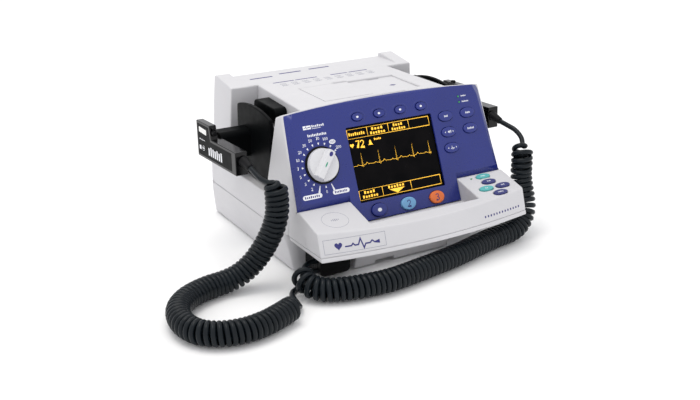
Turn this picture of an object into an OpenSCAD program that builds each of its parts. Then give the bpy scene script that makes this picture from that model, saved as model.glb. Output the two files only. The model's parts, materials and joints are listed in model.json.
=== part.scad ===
// Portable defibrillator with a pair of external paddles in side pockets.
// +X is the user's right, -Y the front, +Z up; the feet stand on z = 0.

/* [Case] */
// Width of the case at the seam between its two halves
case_w = 348; // [340:1:356]
// Distance from the middle of the device to its front and to its rear
half_depth = 188; // [184:1:192]
// Height of the seam above the ground
seam_z = 57; // [55:1:60]
// Height of the floors of the paddle pockets
pocket_z = 97; // [94:1:99]
// Height of the deck
deck_z = 217; // [214:1:222]
// Height of the raised ends of the rear wall
horn_z = 225; // [223:1:230]
// Thickness of the moulded walls
wall = 3; // [2.6:0.1:3.4]

/* [Front panel] */
// Angle by which the panel leans back from upright
panel_tilt = 23.5; // [22:0.5:25]
// Width of the panel along its lower edge
panel_bottom_w = 342; // [336:1:344]
// Width of the panel along its upper edge
panel_top_w = 326; // [320:1:328]
// Height of the panel between its lower and upper corners
panel_h = 131; // [129:1:133]
// Rise of the arched upper edge
panel_arch = 7.5; // [5:0.5:9]
// Width of the display opening
screen_w = 143; // [140:1:144]
// Height of the display opening
screen_h = 106; // [104:1:107]
// Radius of the energy knob
knob_r = 23.5; // [22:0.5:24]
// Travel of the rubber keys
key_travel = 1.2; // [0.8:0.1:1.3]

/* [Carrying handle] */
// Height of the underside of the handle
handle_z = 51; // [50:1:53]
// Clear width between the two end blocks
grip_w = 181; // [178:1:184]
// Bow of the handle's front from its ends to its middle
handle_bow = 17; // [12:1:20]
// Front-to-back thickness of the bar
bar_d = 28; // [26:1:30]

/* [Paddles] */
// Length of a paddle's hand grip
grip_len = 131; // [125:1:133]
// Width of a paddle's shield
shield_w = 106; // [100:1:108]
// Height of a paddle's shield
shield_h = 108; // [104:1:110]
// Distance from the middle of the device to a grip's outer face
grip_x = 225; // [222:1:228]
// Tilt of the grips, front end up
grip_pitch = 3; // [0:0.5:3]

/* [Cords] */
// Outer diameter of the curly part of a paddle cord
coil_d = 33; // [28:1:34]
// Diameter of the cord itself
cord_d = 7.5; // [6:0.5:8]

/* [Hidden] */
$fn = 64;
far = 500;
eps = 0.01;

// Colours
white = [0.86, 0.86, 0.90];
blue = [0.20, 0.22, 0.52];
black = [0.07, 0.07, 0.08];
graphite = [0.22, 0.23, 0.25];
steel = [0.72, 0.73, 0.75];
green = [0.10, 0.35, 0.20];
orange = [0.90, 0.42, 0.15];
pale_blue = [0.40, 0.62, 0.80];
teal = [0.25, 0.65, 0.62];
navy = [0.12, 0.13, 0.36];
paper = [0.95, 0.95, 0.93];
cord_colour = [0.14, 0.16, 0.20];

// Case levels and planes
half_w = case_w / 2;
foot_h = 2;
foot_r = 9;
foot_x = 120;
foot_y = [-64, 168];
rear_y = half_depth;
base_half_w = half_w - 9;
pocket_half_w = half_w - 3;
wall_bottom_half_w = half_w - 6;
wall_top_half_w = half_w - 15;
frame_bottom_half_w = half_w - 1;
frame_top_half_w = half_w - 9;
rear_wall_y = rear_y - 66;
body_front_y = -80;
corner_r = 18;
deck_t = 8;

// Front panel: a point at height t up its face and n in front of it
panel_y = -108;
panel_z = 101.5;
function panel_pt(t, n) = [panel_y + t * sin(panel_tilt) - n * cos(panel_tilt),
    panel_z + t * cos(panel_tilt) + n * sin(panel_tilt)];
rim_h = 6;
skin = 3.5;
bevel = 8;
tongue_t = -31.5;
tongue_rim = 1.8;
arch_r = (pow(panel_top_w / 2, 2) + pow(panel_arch, 2)) / (2 * panel_arch);
lip_y = -128;
lip_z = 72;
column_foot_y = -8;
column_top_y = -34;
board_n = -11;

// Display
screen_x = -3.2;
screen_t = 47.5;
window_edge = 2.4;

// Energy knob
knob_x = -122.5;
knob_t = 56.5;
shaft_r = 3;
shaft_fit = 0.05;
ring_h = 1.5;
pointer_angle = 38;

// Keys: [x, t] of each key on the panel
soft_pitch = 35.6;
soft_t = 113.3;
soft_size = [17, 11];
key_pitch = 49;
key_t = -19.6;
key_size = [24, 18];
side_x = 92.2;
side_t = 92.6;
side_pitch = [39, 23.4];
side_cells = [[0, 0], [1, 0], [1, 1], [0, 1], [0, 2]];
side_size = [25, 14.5];
key_gap = 0.4;
light_x = 121.3;
light_t = [118, 109.5];
light_r = 1.3;
flange = 0.7;
flange_n = [-9, -5];

// End blocks of the handle
block_in_x = grip_w / 2;
block_rear_y = panel_y + 2;
block_slope = 14;
block_tan = tan(block_slope);
block_front_z = panel_z - block_tan * (half_depth + panel_y);
block_key_x = 131.5;
block_key_y = -115.7;
block_key_row = 14.2;
block_key_col = 14.7;
block_key_cells = [[0, 0], [0, 1], [-1, 2], [1, 2], [0, 3]];
block_key_size = [24, 10.5];
block_key_h = 1.6;
block_key_travel = 0.8;
block_light = [111, -115.5];
bow_chord = half_w - 2;
bow_r = (pow(bow_chord, 2) + pow(handle_bow, 2)) / (2 * handle_bow);
front_lean = 11;
bar_rear_y = -half_depth + bar_d;

// Deck and printer
door_box = [[-72, -6, deck_z - 2], [8, 72, deck_z]];
door_travel = 78;
plate_right_x = 91;
scoop_x = -1;
scoop_size = [26, 8];
scoop_y = door_box[1].y + 1.5;
tray_box = [[-70, -3, 150], [6, 69, deck_z - 3]];
tray_wall = 2;
roll_r = 22;
roll_len = 50;
roll_x = -40;
roll_z = 176;
printer_mid_y = 33;
platen_r = 5;
platen_x = -3;
platen_z = 206;
platen_shaft_r = 2;

// Core between the two pockets
core_front_x = 124;
core_front_y = -20;
core_rear_x = 116;

// Battery, in a bay open at the rear
battery_size = [62, 182, 24];
battery_x = 92;
battery_z = 9;
bay_wall = 2.5;
bay_gap = 0.6;

// Connectors at the front, under the handle
socket_x = -124;
socket_z = 25;
plug_size = [48, 45, 38];
monitor_x = 112;
monitor_z = 28;
nose_left_x = -88;
nose_right_x = 72;
nose_front_y = -115;
slot_box = [[-53, nose_front_y - 3, foot_h - 1], [-22, nose_front_y + 9, 7]];

// Mains inlet in the rear wall of the lower case
inlet_x = -105;
inlet_z = 32;
inlet_size = [28, 22, 20];
inlet_hole = [24.2, 17, 16.4];

// Paddles, given for the left one and mirrored for the right one
rest_x = -141;
contact_t = 0.4;
contact_z = 150;
contact_size = [50, 60];
pad_size = [70, 106];
pad_z = 103;
electrode_x = -141.7;
shell_in_x = -143.7;
shield_in_x = -154;
shield_out_x = -160;
grip_t = 18;
grip_in_x = -grip_x + grip_t;
shield_y = -3;
shield_z = 100;
shield_mid_y = shield_y + shield_w / 2;
shield_arc = 8;
shield_arc_r = (pow(shield_w / 2, 2) + pow(shield_arc, 2)) / (2 * shield_arc);
grip_y = -29;
grip_z = 138;
grip_h = 33;
tall_len = 50;
tall_h = 53;
tall_t = 11;
shell_inset = 16;
electrode_w = 68;
neck_y = [60, 92];
neck_z = [128, 171];
relief_len = 22;
relief_r = [7.5, 5];
relief_pos = [-213, grip_y, 158];
relief_dip = 10;
button_travel = 2;

// Cord routes: where each cord leaves the relief, its coil's middle line, its way to the plug
left_lead = [[-213, -50.5, 154], [-212, -63, 150], [-210, -76, 146], [-206, -89, 145]];
left_coil = [[-202, -98, 146], [-201, -101, 134], [-201, -103, 118], [-203, -104, 101], [-208, -103, 84],
    [-216, -101, 67], [-226, -98, 50], [-240, -95, 34], [-258, -92, 22],
    [-278, -91, 17], [-298, -94, 17], [-320, -101, 17], [-341, -113, 17],
    [-358, -132, 17], [-367, -157, 17], [-367, -183, 17], [-358, -205, 17],
    [-338, -220, 17], [-310, -226, 17], [-281, -222, 17], [-254, -212, 17], [-230, -201, 17]];
left_tail = [[-218, -193, 11], [-211, -180, 4], [-208, -163, 4], [-205, -149, 4],
    [-197, -138, 4], [-182, -131, 5], [-168, -123, 9], [-157, -117, 14], [-148, -117, 14]];
right_lead = [[213, -50.5, 154], [214, -65, 152], [217, -81, 148], [217, -96, 140]];
right_coil = [[211, -107, 131], [206, -113, 120], [205, -115, 105], [205, -115, 90],
    [205, -119, 74], [204, -126, 58], [200, -134, 42], [188, -141, 26],
    [168, -147, 18], [144, -151, 17], [118, -156, 17], [92, -163, 17],
    [64, -171, 17], [35, -178, 17], [5, -184, 17], [-25, -189, 17],
    [-54, -194, 17], [-82, -197, 17], [-108, -196, 17], [-132, -193, 17],
    [-154, -187, 17], [-172, -178, 17], [-185, -167, 20], [-189, -155, 25], [-185, -144, 29]];
right_tail = [[-178, -133, 31], [-169, -123, 30], [-158, -116, 29], [-148, -115, 28]];
cord_sides = 8;

// ---- Shapes used by several pieces ----

module box(a, b) translate(a) cube(b - a);

// A side-view outline, [y, z], extruded from x0 to x1
module along_x(x0, x1) translate([x0, 0, 0]) rotate([90, 0, 90]) linear_extrude(x1 - x0) children();

// A front-view outline, [x, z], extruded from y0 to y1
module along_y(y0, y1) translate([0, y1, 0]) rotate([90, 0, 0]) linear_extrude(y1 - y0) children();

// A rounded rectangle centred on the origin
module rounded(size, r) {
    square([size.x - 2 * r, size.y], center = true);
    square([size.x, size.y - 2 * r], center = true);
    for (sx = [-1, 1], sy = [-1, 1])
        translate([sx * (size.x / 2 - r), sy * (size.y / 2 - r)]) circle(r);
}

// A bar with round ends
module stadium(size) {
    square([size.x - size.y, size.y], center = true);
    for (s = [-1, 1]) translate([s * (size.x - size.y) / 2, 0]) circle(d = size.y);
}

// Places children on the panel's face, with Z straight out of it
module on_panel(x, t) {
    p = panel_pt(t, 0);
    translate([x, p.x, p.y]) rotate([90 - panel_tilt, 0, 0]) children();
}

// Places children on the top face of an end block
module on_block(x, y) {
    translate([x, y, panel_z + block_tan * (y - panel_y)]) rotate([block_slope, 0, 0]) children();
}

// A front-view trapezium between two heights
module taper(z0, half0, z1, half1) {
    polygon([[-half0, z0], [half0, z0], [half1, z1], [-half1, z1]]);
}

module mirrored_pair() {
    children();
    mirror([1, 0, 0]) children();
}

// ---- Lower case ----

module lower_outer(inset) {
    bottom = foot_h + inset;
    intersection() {
        along_y(body_front_y + inset, rear_y - inset)
            taper(bottom, base_half_w - inset, seam_z + (inset > 0 ? 1 : 0), half_w - inset);
        translate([0, (body_front_y + rear_y) / 2, 0]) linear_extrude(far)
            rounded([case_w, rear_y - body_front_y - 2 * inset], corner_r);
    }
}

module lower_nose(inset) {
    top = seam_z + (inset > 0 ? 1 : 0);
    along_x(nose_left_x + inset, nose_right_x - inset)
        polygon([[body_front_y + 2 * inset + 1, foot_h + inset], [nose_front_y + inset, foot_h + inset],
            [lip_y + 2 + inset, top], [body_front_y + 2 * inset + 1, top]]);
}

module bay_outline(grow) {
    translate([battery_x, battery_z + battery_size.z / 2])
        square([battery_size.x + 2 * grow, battery_size.z + 2 * grow], center = true);
}

screw_spots = [for (sx = [-1, 1], y = [-48, 60, 165]) [sx * 148, y]];

module lower_case() color(white) difference() {
    union() {
        difference() {
            union() {
                lower_outer(0);
                lower_nose(0);
            }
            lower_outer(wall);
            lower_nose(wall);
        }
        along_y(rear_y - battery_size.y - bay_wall - 1, rear_y - wall) bay_outline(bay_wall);
        for (s = screw_spots) translate([s.x, s.y, foot_h + 1]) cylinder(r = 6, h = 20);
    }
    along_y(rear_y - battery_size.y - 1, far) bay_outline(bay_gap);
    for (s = screw_spots) translate([s.x, s.y, 0]) {
        cylinder(r = 2.1, h = 40);
        cylinder(r = 4.4, h = foot_h + 2);
    }
    box(slot_box[0], slot_box[1]);
    translate([socket_x, body_front_y - 10, socket_z]) rotate([-90, 0, 0])
        linear_extrude(20) rounded([40.4, 30.4], 5.2);
    translate([monitor_x, body_front_y - 10, monitor_z]) rotate([-90, 0, 0]) cylinder(r = 13.2, h = 20);
    translate([inlet_x - inlet_size.x / 2 - 0.2, rear_y - 10, inlet_z - inlet_size.z / 2 - 0.2])
        cube([inlet_size.x + 0.4, 30, inlet_size.z + 0.4]);
}

// ---- Upper case ----

// Round front of the handle, leaning out towards its foot
module bow(inset) {
    translate([0, bow_r - half_depth, handle_z])
        cylinder(h = 60, r1 = bow_r - inset, r2 = bow_r - inset - front_lean * 60 / 35, $fn = 360);
}

// Handle bar and its two end blocks, without the space for the fingers
module handle_mass(z0, inset) intersection() {
    along_x(-half_w + 2 + inset, half_w - 2 - inset)
        polygon([[-half_depth - 1, z0], [body_front_y - 20, z0], [body_front_y - 20, panel_z - inset],
            [panel_y, panel_z - inset], [-half_depth - 1, block_front_z - block_tan - inset]]);
    bow(inset);
}

module finger_gap(rear_y) box([-block_in_x, bar_rear_y, 0], [block_in_x, rear_y, far]);

// Front frame: side view between the panel and the columns beside the pockets
module frame_outline(inset) {
    polygon([[lip_y + inset, seam_z - inset], [lip_y + inset, lip_z - inset],
        panel_pt(tongue_t, -rim_h - inset), panel_pt(panel_h + 12 - 1.5 * inset, -rim_h - inset),
        [column_top_y - 8, deck_z + 9 - 2 * inset], [column_top_y - inset, deck_z + 4 - 2 * inset],
        [column_foot_y - inset, pocket_z - inset],
        [column_foot_y - inset, seam_z - inset]]);
}

module panel_arc(extra) {
    on_panel(0, panel_h + panel_arch - arch_r) translate([0, 0, -far / 2])
        cylinder(r = arch_r + extra, h = far, $fn = 360);
}

module front_frame(inset) intersection() {
    along_x(-half_w, half_w) frame_outline(inset);
    along_y(-half_depth, 0)
        taper(seam_z - 5, frame_bottom_half_w + 0.2 - inset, deck_z + 10, frame_top_half_w - inset);
    panel_arc(2 - inset);
}

// Half width of the core at y
function core_half(y) = core_front_x
    - (core_front_x - core_rear_x) * (y - core_front_y) / (rear_wall_y - core_front_y);

module core(inset) {
    front = column_top_y - 8;
    rear = rear_wall_y + 1 + inset;
    top = inset > 0 ? deck_z - deck_t : deck_z;
    translate([0, 0, pocket_z - 1 - inset]) linear_extrude(top - pocket_z + 1 + inset)
        polygon([[inset - core_half(front), front], [core_half(front) - inset, front],
            [core_half(rear) - inset, rear], [inset - core_half(rear), rear]]);
}

module pocket_base(inset) intersection() {
    along_y(body_front_y + inset, rear_y - inset)
        taper(seam_z - (inset > 0 ? 1 : 0), half_w - inset, pocket_z - inset, pocket_half_w - inset);
    translate([0, (body_front_y - 100 + rear_y) / 2, 0]) linear_extrude(far)
        rounded([case_w, rear_y - body_front_y + 100 - 2 * inset], corner_r);
}

module rear_wall(inset) intersection() {
    along_x(-half_w, half_w)
        polygon([[rear_wall_y + inset, pocket_z - 1 - 2 * inset], [rear_wall_y + inset, deck_z - inset],
            [rear_y - 12 - inset, horn_z - inset], [rear_y - 4 - inset, horn_z - 2 - inset],
            [rear_y - inset, pocket_z - 1 - 2 * inset]]);
    along_y(rear_wall_y, rear_y)
        taper(pocket_z - 20, wall_bottom_half_w - inset, horn_z, wall_top_half_w - inset);
    translate([0, (rear_y - 100) / 2, 0]) linear_extrude(far)
        rounded([case_w - 8 - 2 * inset, rear_y + 100 - 2 * inset], corner_r);
}

// The rear wall is lower between its two raised ends
module horn_gap() box([-136, rear_wall_y - 1, deck_z + 1], [136, far, far]);

module panel_opening() {
    on_panel(0, 0) translate([0, 0, -rim_h - 12]) linear_extrude(far) {
        polygon([[-panel_bottom_w / 2 + 12, 4], [panel_bottom_w / 2 - 12, 4],
            [panel_top_w / 2 - 10, panel_h - 9], [-panel_top_w / 2 + 10, panel_h - 9]]);
        translate([-block_in_x + 6, tongue_t + tongue_rim]) square([grip_w - 12, 8 - tongue_t]);
    }
}

module deck_recess() {
    box([door_box[0].x - 0.4, door_box[0].y - 0.4, door_box[0].z - 0.4],
        [plate_right_x + 0.4, door_box[1].y + 0.4, far]);
    box([door_box[1].x + 0.6, door_box[0].y - 0.4, deck_z - 4.8],
        [plate_right_x + 0.4, door_box[1].y + 0.4, far]);
    box([tray_box[0].x - 0.2, tray_box[0].y - 0.2, deck_z - 20],
        [tray_box[1].x + 0.2, tray_box[1].y + 0.2, far]);
    translate([scoop_x, scoop_y, deck_z - 2.4]) linear_extrude(5) rounded(scoop_size, 3.5);
}

module upper_case() color(white) difference() {
    union() {
        pocket_base(0);
        front_frame(0);
        core(0);
        rear_wall(0);
        difference() {
            handle_mass(seam_z, 0);
            finger_gap(0);
        }
    }
    pocket_base(wall);
    front_frame(wall);
    core(wall);
    intersection() {
        rear_wall(wall);
        box([-far, 0, 0], [far, far, deck_z - wall]);
    }
    for (s = [-1, 1]) intersection() {
        handle_mass(seam_z - 1, wall);
        box([s > 0 ? block_in_x + wall : -half_w, -far, 0],
            [s > 0 ? half_w : -block_in_x - wall, block_rear_y, far]);
    }
    horn_gap();
    on_panel(0, -0.2) translate([-far / 2, 0, -rim_h]) cube([far, far, far]);
    panel_opening();
    deck_recess();
    for (cell = block_key_cells) block_key_place(cell) translate([0, 0, -20]) linear_extrude(40)
        stadium(block_key_size + [2 * key_gap, 2 * key_gap]);
    on_block(block_light.x, block_light.y) translate([0, 0, -10]) cylinder(r = light_r + 0.1, h = 20);
}

module handle_cover() color(white) difference() {
    intersection() {
        along_x(-half_w + 2, half_w - 2)
            polygon([[-half_depth - 1, handle_z], [body_front_y - 0.2, handle_z],
                [body_front_y - 0.2, seam_z], [-half_depth - 1, seam_z]]);
        bow(0);
    }
    finger_gap(lip_y);
    box([nose_left_x - 0.2, lip_y + 1, 0], [nose_right_x + 0.2, 0, far]);
}

// ---- Front panel and what is behind it ----

module panel_face(inset) {
    polygon([[-panel_bottom_w / 2 + inset, inset], [panel_bottom_w / 2 - inset, inset],
        [panel_top_w / 2 - inset, panel_h - inset - 6], [panel_top_w / 2 - inset - 7, panel_h + 12 - inset],
        [-panel_top_w / 2 + inset + 4, panel_h + 12 - inset],
        [-panel_top_w / 2 + inset, panel_h - inset - 3]]);
}

module bezel_holes() {
    translate([screen_x, screen_t, -20]) linear_extrude(40) rounded([screen_w, screen_h], 1.5);
    translate([knob_x, knob_t, -20]) cylinder(r = shaft_r + 0.6, h = 40);
    for (i = [0:3]) soft_key_place(i) key_hole(soft_size);
    for (i = [0:2]) key_place(i) key_hole(key_size);
    for (cell = side_cells) side_key_place(cell) key_hole(side_size);
    for (t = light_t) translate([light_x, t, -20]) cylinder(r = light_r + 0.1, h = 40);
}

module key_hole(size) translate([0, 0, -20]) linear_extrude(40) stadium(size + [2 * key_gap, 2 * key_gap]);
module soft_key_place(i) translate([(i - 1.5) * soft_pitch, soft_t, 0]) children();
module key_place(i) translate([(i - 1) * key_pitch, key_t, 0]) children();
module side_key_place(cell) {
    translate([side_x + cell.x * side_pitch.x, side_t - cell.y * side_pitch.y, 0]) children();
}

module front_bezel() color(blue) on_panel(0, 0) difference() {
    intersection() {
        union() {
            hull() {
                translate([0, 0, -rim_h]) linear_extrude(0.1) panel_face(0);
                translate([0, 0, -0.1]) linear_extrude(0.1) panel_face(bevel);
            }
            translate([-block_in_x + 0.3, tongue_t, -rim_h]) cube([grip_w - 0.6, 12 - tongue_t, rim_h]);
        }
        translate([0, panel_h + panel_arch - arch_r, -20]) cylinder(r = arch_r, h = 40, $fn = 360);
    }
    translate([0, 0, -rim_h - 1]) linear_extrude(rim_h - skin + 1) {
        polygon([[-panel_bottom_w / 2 + bevel + 4, bevel + 4], [panel_bottom_w / 2 - bevel - 4, bevel + 4],
            [panel_top_w / 2 - bevel - 4, panel_h - bevel - 3],
            [-panel_top_w / 2 + bevel + 4, panel_h - bevel - 3]]);
        translate([-block_in_x + 4, tongue_t + tongue_rim])
            square([grip_w - 8, bevel + 10 - tongue_t]);
    }
    bezel_holes();
}

module display_window() color([0.1, 0.1, 0.12]) on_panel(screen_x, screen_t)
    translate([0, 0, -rim_h]) linear_extrude(rim_h - skin)
        rounded([screen_w + 2 * window_edge, screen_h + 2 * window_edge], 2);

module display_module() color(graphite) on_panel(screen_x, screen_t)
    translate([0, 0, -rim_h - 14]) linear_extrude(13.6) rounded([screen_w + 10, screen_h + 4], 3);

module knob_ring() color(black) on_panel(knob_x, knob_t) difference() {
    cylinder(r = knob_r + 2.5, h = ring_h);
    translate([0, 0, -1]) cylinder(r = shaft_r + 0.6, h = 5);
}

module energy_switch() color(graphite) on_panel(knob_x, knob_t) difference() {
    union() {
        translate([0, 0, -24]) cylinder(r = 14, h = 20);
        translate([0, 0, -24]) linear_extrude(8) rounded([34, 34], 3);
    }
    translate([0, 0, -19]) cylinder(r = shaft_r + shaft_fit, h = 30);
}

module key_board() color(green) on_panel(0, 0) translate([0, 0, board_n - 1.6]) difference() {
    linear_extrude(1.6) {
        translate([-152, 8]) square([304, 110]);
        translate([-block_in_x + 8, tongue_t + 5]) square([grip_w - 16, 14 - tongue_t]);
    }
    translate([screen_x, screen_t, -1]) linear_extrude(4) rounded([screen_w + 11, screen_h + 5], 3);
    translate([knob_x, knob_t, -1]) cylinder(r = 15, h = 4);
}

module key_cap(size, height) {
    linear_extrude(height) stadium(size);
    translate([0, 0, flange_n[0]]) linear_extrude(-flange_n[0] + eps) stadium(size);
    translate([0, 0, flange_n[0]]) linear_extrude(flange_n[1] - flange_n[0])
        stadium(size + [2 * flange, 2 * flange]);
}

module soft_key(i) color(blue) on_panel(0, 0) soft_key_place(i) key_cap(soft_size, 2);
module side_key(i) color(blue) on_panel(0, 0) side_key_place(side_cells[i]) key_cap(side_size, 2);
module round_key(i) color([blue, pale_blue, orange][i]) on_panel(0, 0) key_place(i) key_cap(key_size, 3);

module block_key_place(cell) {
    on_block(block_key_x + cell.x * block_key_col, block_key_y - cell.y * block_key_row) children();
}

module block_key(i) color([teal, navy, teal, navy, navy][i]) block_key_place(block_key_cells[i])
    translate([0, 0, -5]) {
        linear_extrude(5 + block_key_h) stadium(block_key_size);
        linear_extrude(1) stadium(block_key_size + [2 * flange, 2 * flange]);
    }

module indicator_lights() color([0.3, 0.8, 0.4]) {
    for (t = light_t) on_panel(light_x, t) translate([0, 0, -skin]) cylinder(r = light_r, h = skin + 0.3);
    on_block(block_light.x, block_light.y) translate([0, 0, -wall]) cylinder(r = light_r, h = wall + 0.2);
}

// Knob: a round skirt with a raised pointer across it
module energy_knob() color([0.88, 0.88, 0.9]) on_panel(knob_x, knob_t) {
    translate([0, 0, -18]) cylinder(r = shaft_r, h = 22);
    translate([0, 0, ring_h + 0.3]) cylinder(r1 = knob_r, r2 = knob_r - 1.5, h = 6);
    intersection() {
        rotate(-pointer_angle) along_y(-knob_r, knob_r)
            polygon([[-8, 3], [8, 3], [8, 8], [5, 15], [-5, 15], [-8, 8]]);
        translate([0, 0, ring_h + 1]) cylinder(r1 = knob_r - 0.5, r2 = knob_r - 3, h = 20);
    }
}

// ---- Inside the case ----

module main_board() color(green) {
    difference() {
        box([-150, -70, 44], [150, 172, 45.6]);
        for (s = screw_spots) translate([s.x, s.y, 40]) cylinder(r = 8, h = 10);
    }
    for (x = [-110, -60, 40], y = [-20, 50]) translate([x, y, 45.6]) cube([28, 28, 3]);
}

module power_supply() color(steel) box([-140, 40, 6], [-55, 150, 40]);

module storage_capacitor() color([0.1, 0.1, 0.25]) {
    translate([62, -2, 120]) rotate([-90, 0, 0]) cylinder(r = 34, h = 104);
    for (z = [105, 135]) translate([62, -10, z]) rotate([-90, 0, 0]) cylinder(r = 4, h = 9);
}

module speaker() color(black) on_block(-133, -139) translate([0, 0, -wall - 14.2]) {
    cylinder(r = 12, h = 6);
    translate([0, 0, 6]) cylinder(r1 = 12, r2 = 20, h = 6);
    translate([0, 0, 12]) cylinder(r = 20, h = 2);
}

module ac_inlet() color(black) {
    difference() {
        union() {
            translate([inlet_x - inlet_size.x / 2, rear_y - inlet_size.y, inlet_z - inlet_size.z / 2])
                cube(inlet_size - [0, 0.5, 0]);
            translate([inlet_x - 17, rear_y - wall - 2.2, inlet_z - 13]) cube([34, 2, 26]);
        }
        translate([inlet_x - inlet_hole.x / 2, rear_y - inlet_hole.y - 0.5, inlet_z - inlet_hole.z / 2])
            cube(inlet_hole + [0, 5, 0]);
    }
    for (pin = [[-7, -2], [0, 2], [7, -2]])
        translate([inlet_x + pin.x - 1, rear_y - inlet_hole.y - 1, inlet_z + pin.y - 2]) cube([2, 11, 4]);
}

module printer_tray() color(graphite) difference() {
    box(tray_box[0], tray_box[1]);
    box(tray_box[0] + [tray_wall, tray_wall, tray_wall], tray_box[1] + [-tray_wall, -tray_wall, 10]);
    translate([platen_x, 0, platen_z]) rotate([-90, 0, 0])
        translate([0, 0, -20]) cylinder(r = platen_shaft_r + shaft_fit, h = 120);
}

module paper_roll() color(paper) translate([roll_x, printer_mid_y - roll_len / 2, roll_z])
    rotate([-90, 0, 0]) difference() {
        cylinder(r = roll_r, h = roll_len);
        translate([0, 0, -1]) cylinder(r = 6, h = roll_len + 2);
    }

module platen_roller() color(black) translate([platen_x, printer_mid_y, platen_z]) rotate([-90, 0, 0]) {
    translate([0, 0, -31]) cylinder(r = platen_r, h = 62);
    translate([0, 0, -35.6]) cylinder(r = platen_shaft_r, h = 71.2);
}

module printer_door() color(white) difference() {
    box(door_box[0], door_box[1]);
    translate([scoop_x, scoop_y, deck_z - 5]) linear_extrude(10) rounded(scoop_size, 3.5);
}

module deck_plate() color(white) difference() {
    box([door_box[1].x + 0.8, door_box[0].y, deck_z - 4.8], [plate_right_x, door_box[1].y, deck_z - 2.5]);
    translate([55, door_box[1].y, deck_z - 8]) linear_extrude(10) rounded([22, 8], 3.5);
}

module battery() color(graphite) {
    along_y(rear_y - battery_size.y, rear_y - 1)
        translate([battery_x, battery_z + battery_size.z / 2]) rounded([battery_size.x, battery_size.z], 2);
    along_y(rear_y - 1, rear_y)
        translate([battery_x, battery_z + battery_size.z / 2]) rounded([battery_size.x - 14, 6], 2);
}

module feet() color(black) for (sx = [-1, 1], y = foot_y)
    translate([sx * foot_x, y, 0]) cylinder(r = foot_r, h = foot_h);

module case_screws() color(steel) for (s = screw_spots) translate([s.x, s.y, 0]) {
    translate([0, 0, foot_h + 0.4]) cylinder(r = 4, h = 1.6);
    translate([0, 0, foot_h + 1]) cylinder(r = 2, h = 20);
}

// ---- Connectors ----

// Places children on the lower case's front wall, with Z into the case
module on_front(x, z) translate([x, body_front_y, z]) rotate([-90, 0, 0]) children();

module therapy_socket() color(black) on_front(socket_x, socket_z) difference() {
    linear_extrude(22) rounded([40, 30], 5);
    translate([0, 0, -1]) linear_extrude(19) rounded([34, 24], 3);
}

module therapy_plug() color(black) on_front(socket_x, socket_z) {
    translate([0, 0, -plug_size.y - 0.3]) linear_extrude(plug_size.y)
        rounded([plug_size.x, plug_size.z], 8);
    translate([0, 0, -1]) linear_extrude(18) rounded([33.4, 23.4], 2.7);
}

module monitor_socket() color(graphite) on_front(monitor_x, monitor_z) translate([0, 0, -3]) {
    difference() {
        cylinder(r = 13, h = 22);
        translate([0, 0, -1]) cylinder(r = 9.5, h = 17);
    }
    for (a = [0:60:300]) rotate(a) translate([5, 0, 8]) cylinder(r = 0.9, h = 9, $fn = 24);
}

// ---- Paddle pockets and paddles ----

// Side view of a shield: round top, round lower corners
module shield(x0, x1, inset) intersection() {
    translate([x0, shield_mid_y, shield_z + shield_h / 2]) rotate([90, 0, 90])
        linear_extrude(x1 - x0) rounded([shield_w - 2 * inset, shield_h - 2 * inset], 14);
    translate([x0 - 1, shield_mid_y, shield_z + shield_h - shield_arc_r]) rotate([0, 90, 0])
        cylinder(r = shield_arc_r - inset, h = x1 - x0 + 2, $fn = 180);
}

module paddle_rests() color(black) mirrored_pair() intersection() {
    translate([rest_x, shield_mid_y, pad_z + pad_size.y / 2]) rotate([90, 0, 90])
        linear_extrude(30) rounded(pad_size, 8);
    translate([0, 0, pocket_z]) linear_extrude(far)
        polygon([[rest_x, -5], [-core_half(-5), -5], [-core_half(110), 110], [rest_x, 110]]);
}

module rest_contacts() color(steel) mirrored_pair()
    translate([rest_x - contact_t, shield_mid_y, contact_z]) rotate([90, 0, 90])
        linear_extrude(contact_t) rounded(contact_size, 6);

module paddle_shell() color(black) {
    shield(shield_in_x, shell_in_x, shell_inset);
    shield(shield_out_x, shield_in_x, 0);
    translate([grip_in_x, (neck_y[0] + neck_y[1]) / 2, (neck_z[0] + neck_z[1]) / 2]) rotate([90, 0, 90])
        linear_extrude(shield_out_x - grip_in_x) rounded([neck_y[1] - neck_y[0], neck_z[1] - neck_z[0]], 8);
}

module paddle_electrode() color(steel)
    translate([shell_in_x, shield_mid_y, shield_z + shield_h / 2]) rotate([90, 0, 90])
        linear_extrude(electrode_x - shell_in_x) rounded([electrode_w, electrode_w], 10);

// A level bar, with a thinner and taller thumb rest along the rear of its outer side
module paddle_grip_body() translate([0, grip_y, grip_z]) rotate([-grip_pitch, 0, 0]) {
    along_x(-grip_x, grip_in_x) square([grip_len, grip_h]);
    along_x(-grip_x, -grip_x + tall_t) polygon([[grip_len - tall_len, 0], [grip_len, 0],
        [grip_len, tall_h], [grip_len - tall_len + 4, tall_h], [grip_len - tall_len, grip_h]]);
}

button_y = grip_y + grip_len - tall_len;
button_x = -grip_x + tall_t / 2;
button_z = grip_z + 38;
button_r = 3.5;
charge_y = button_y + 32;
charge_z = grip_z + tall_h - 16;
charge_r = 3.8;

module paddle_grip(has_window, has_charge) color(black) difference() {
    paddle_grip_body();
    translate([button_x, button_y - 5, button_z]) rotate([-90, 0, 0])
        cylinder(r = button_r + 0.4, h = 19);
    if (has_window) window_shape(0.2);
    if (has_charge) translate([button_x, charge_y, charge_z - 3])
        cylinder(r = charge_r + 0.4, h = 40);
}

module window_shape(grow) translate([-grip_x - 1, grip_y + grip_len - 20, grip_z + 35])
    rotate([90, 0, 90]) linear_extrude(2.6) rounded([26 + 2 * grow, 8 + 2 * grow], 1.5);

module paddle_window() color(white) intersection() {
    window_shape(0);
    box([-grip_x - 0.3, -far, 0], [0, far, far]);
}

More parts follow.
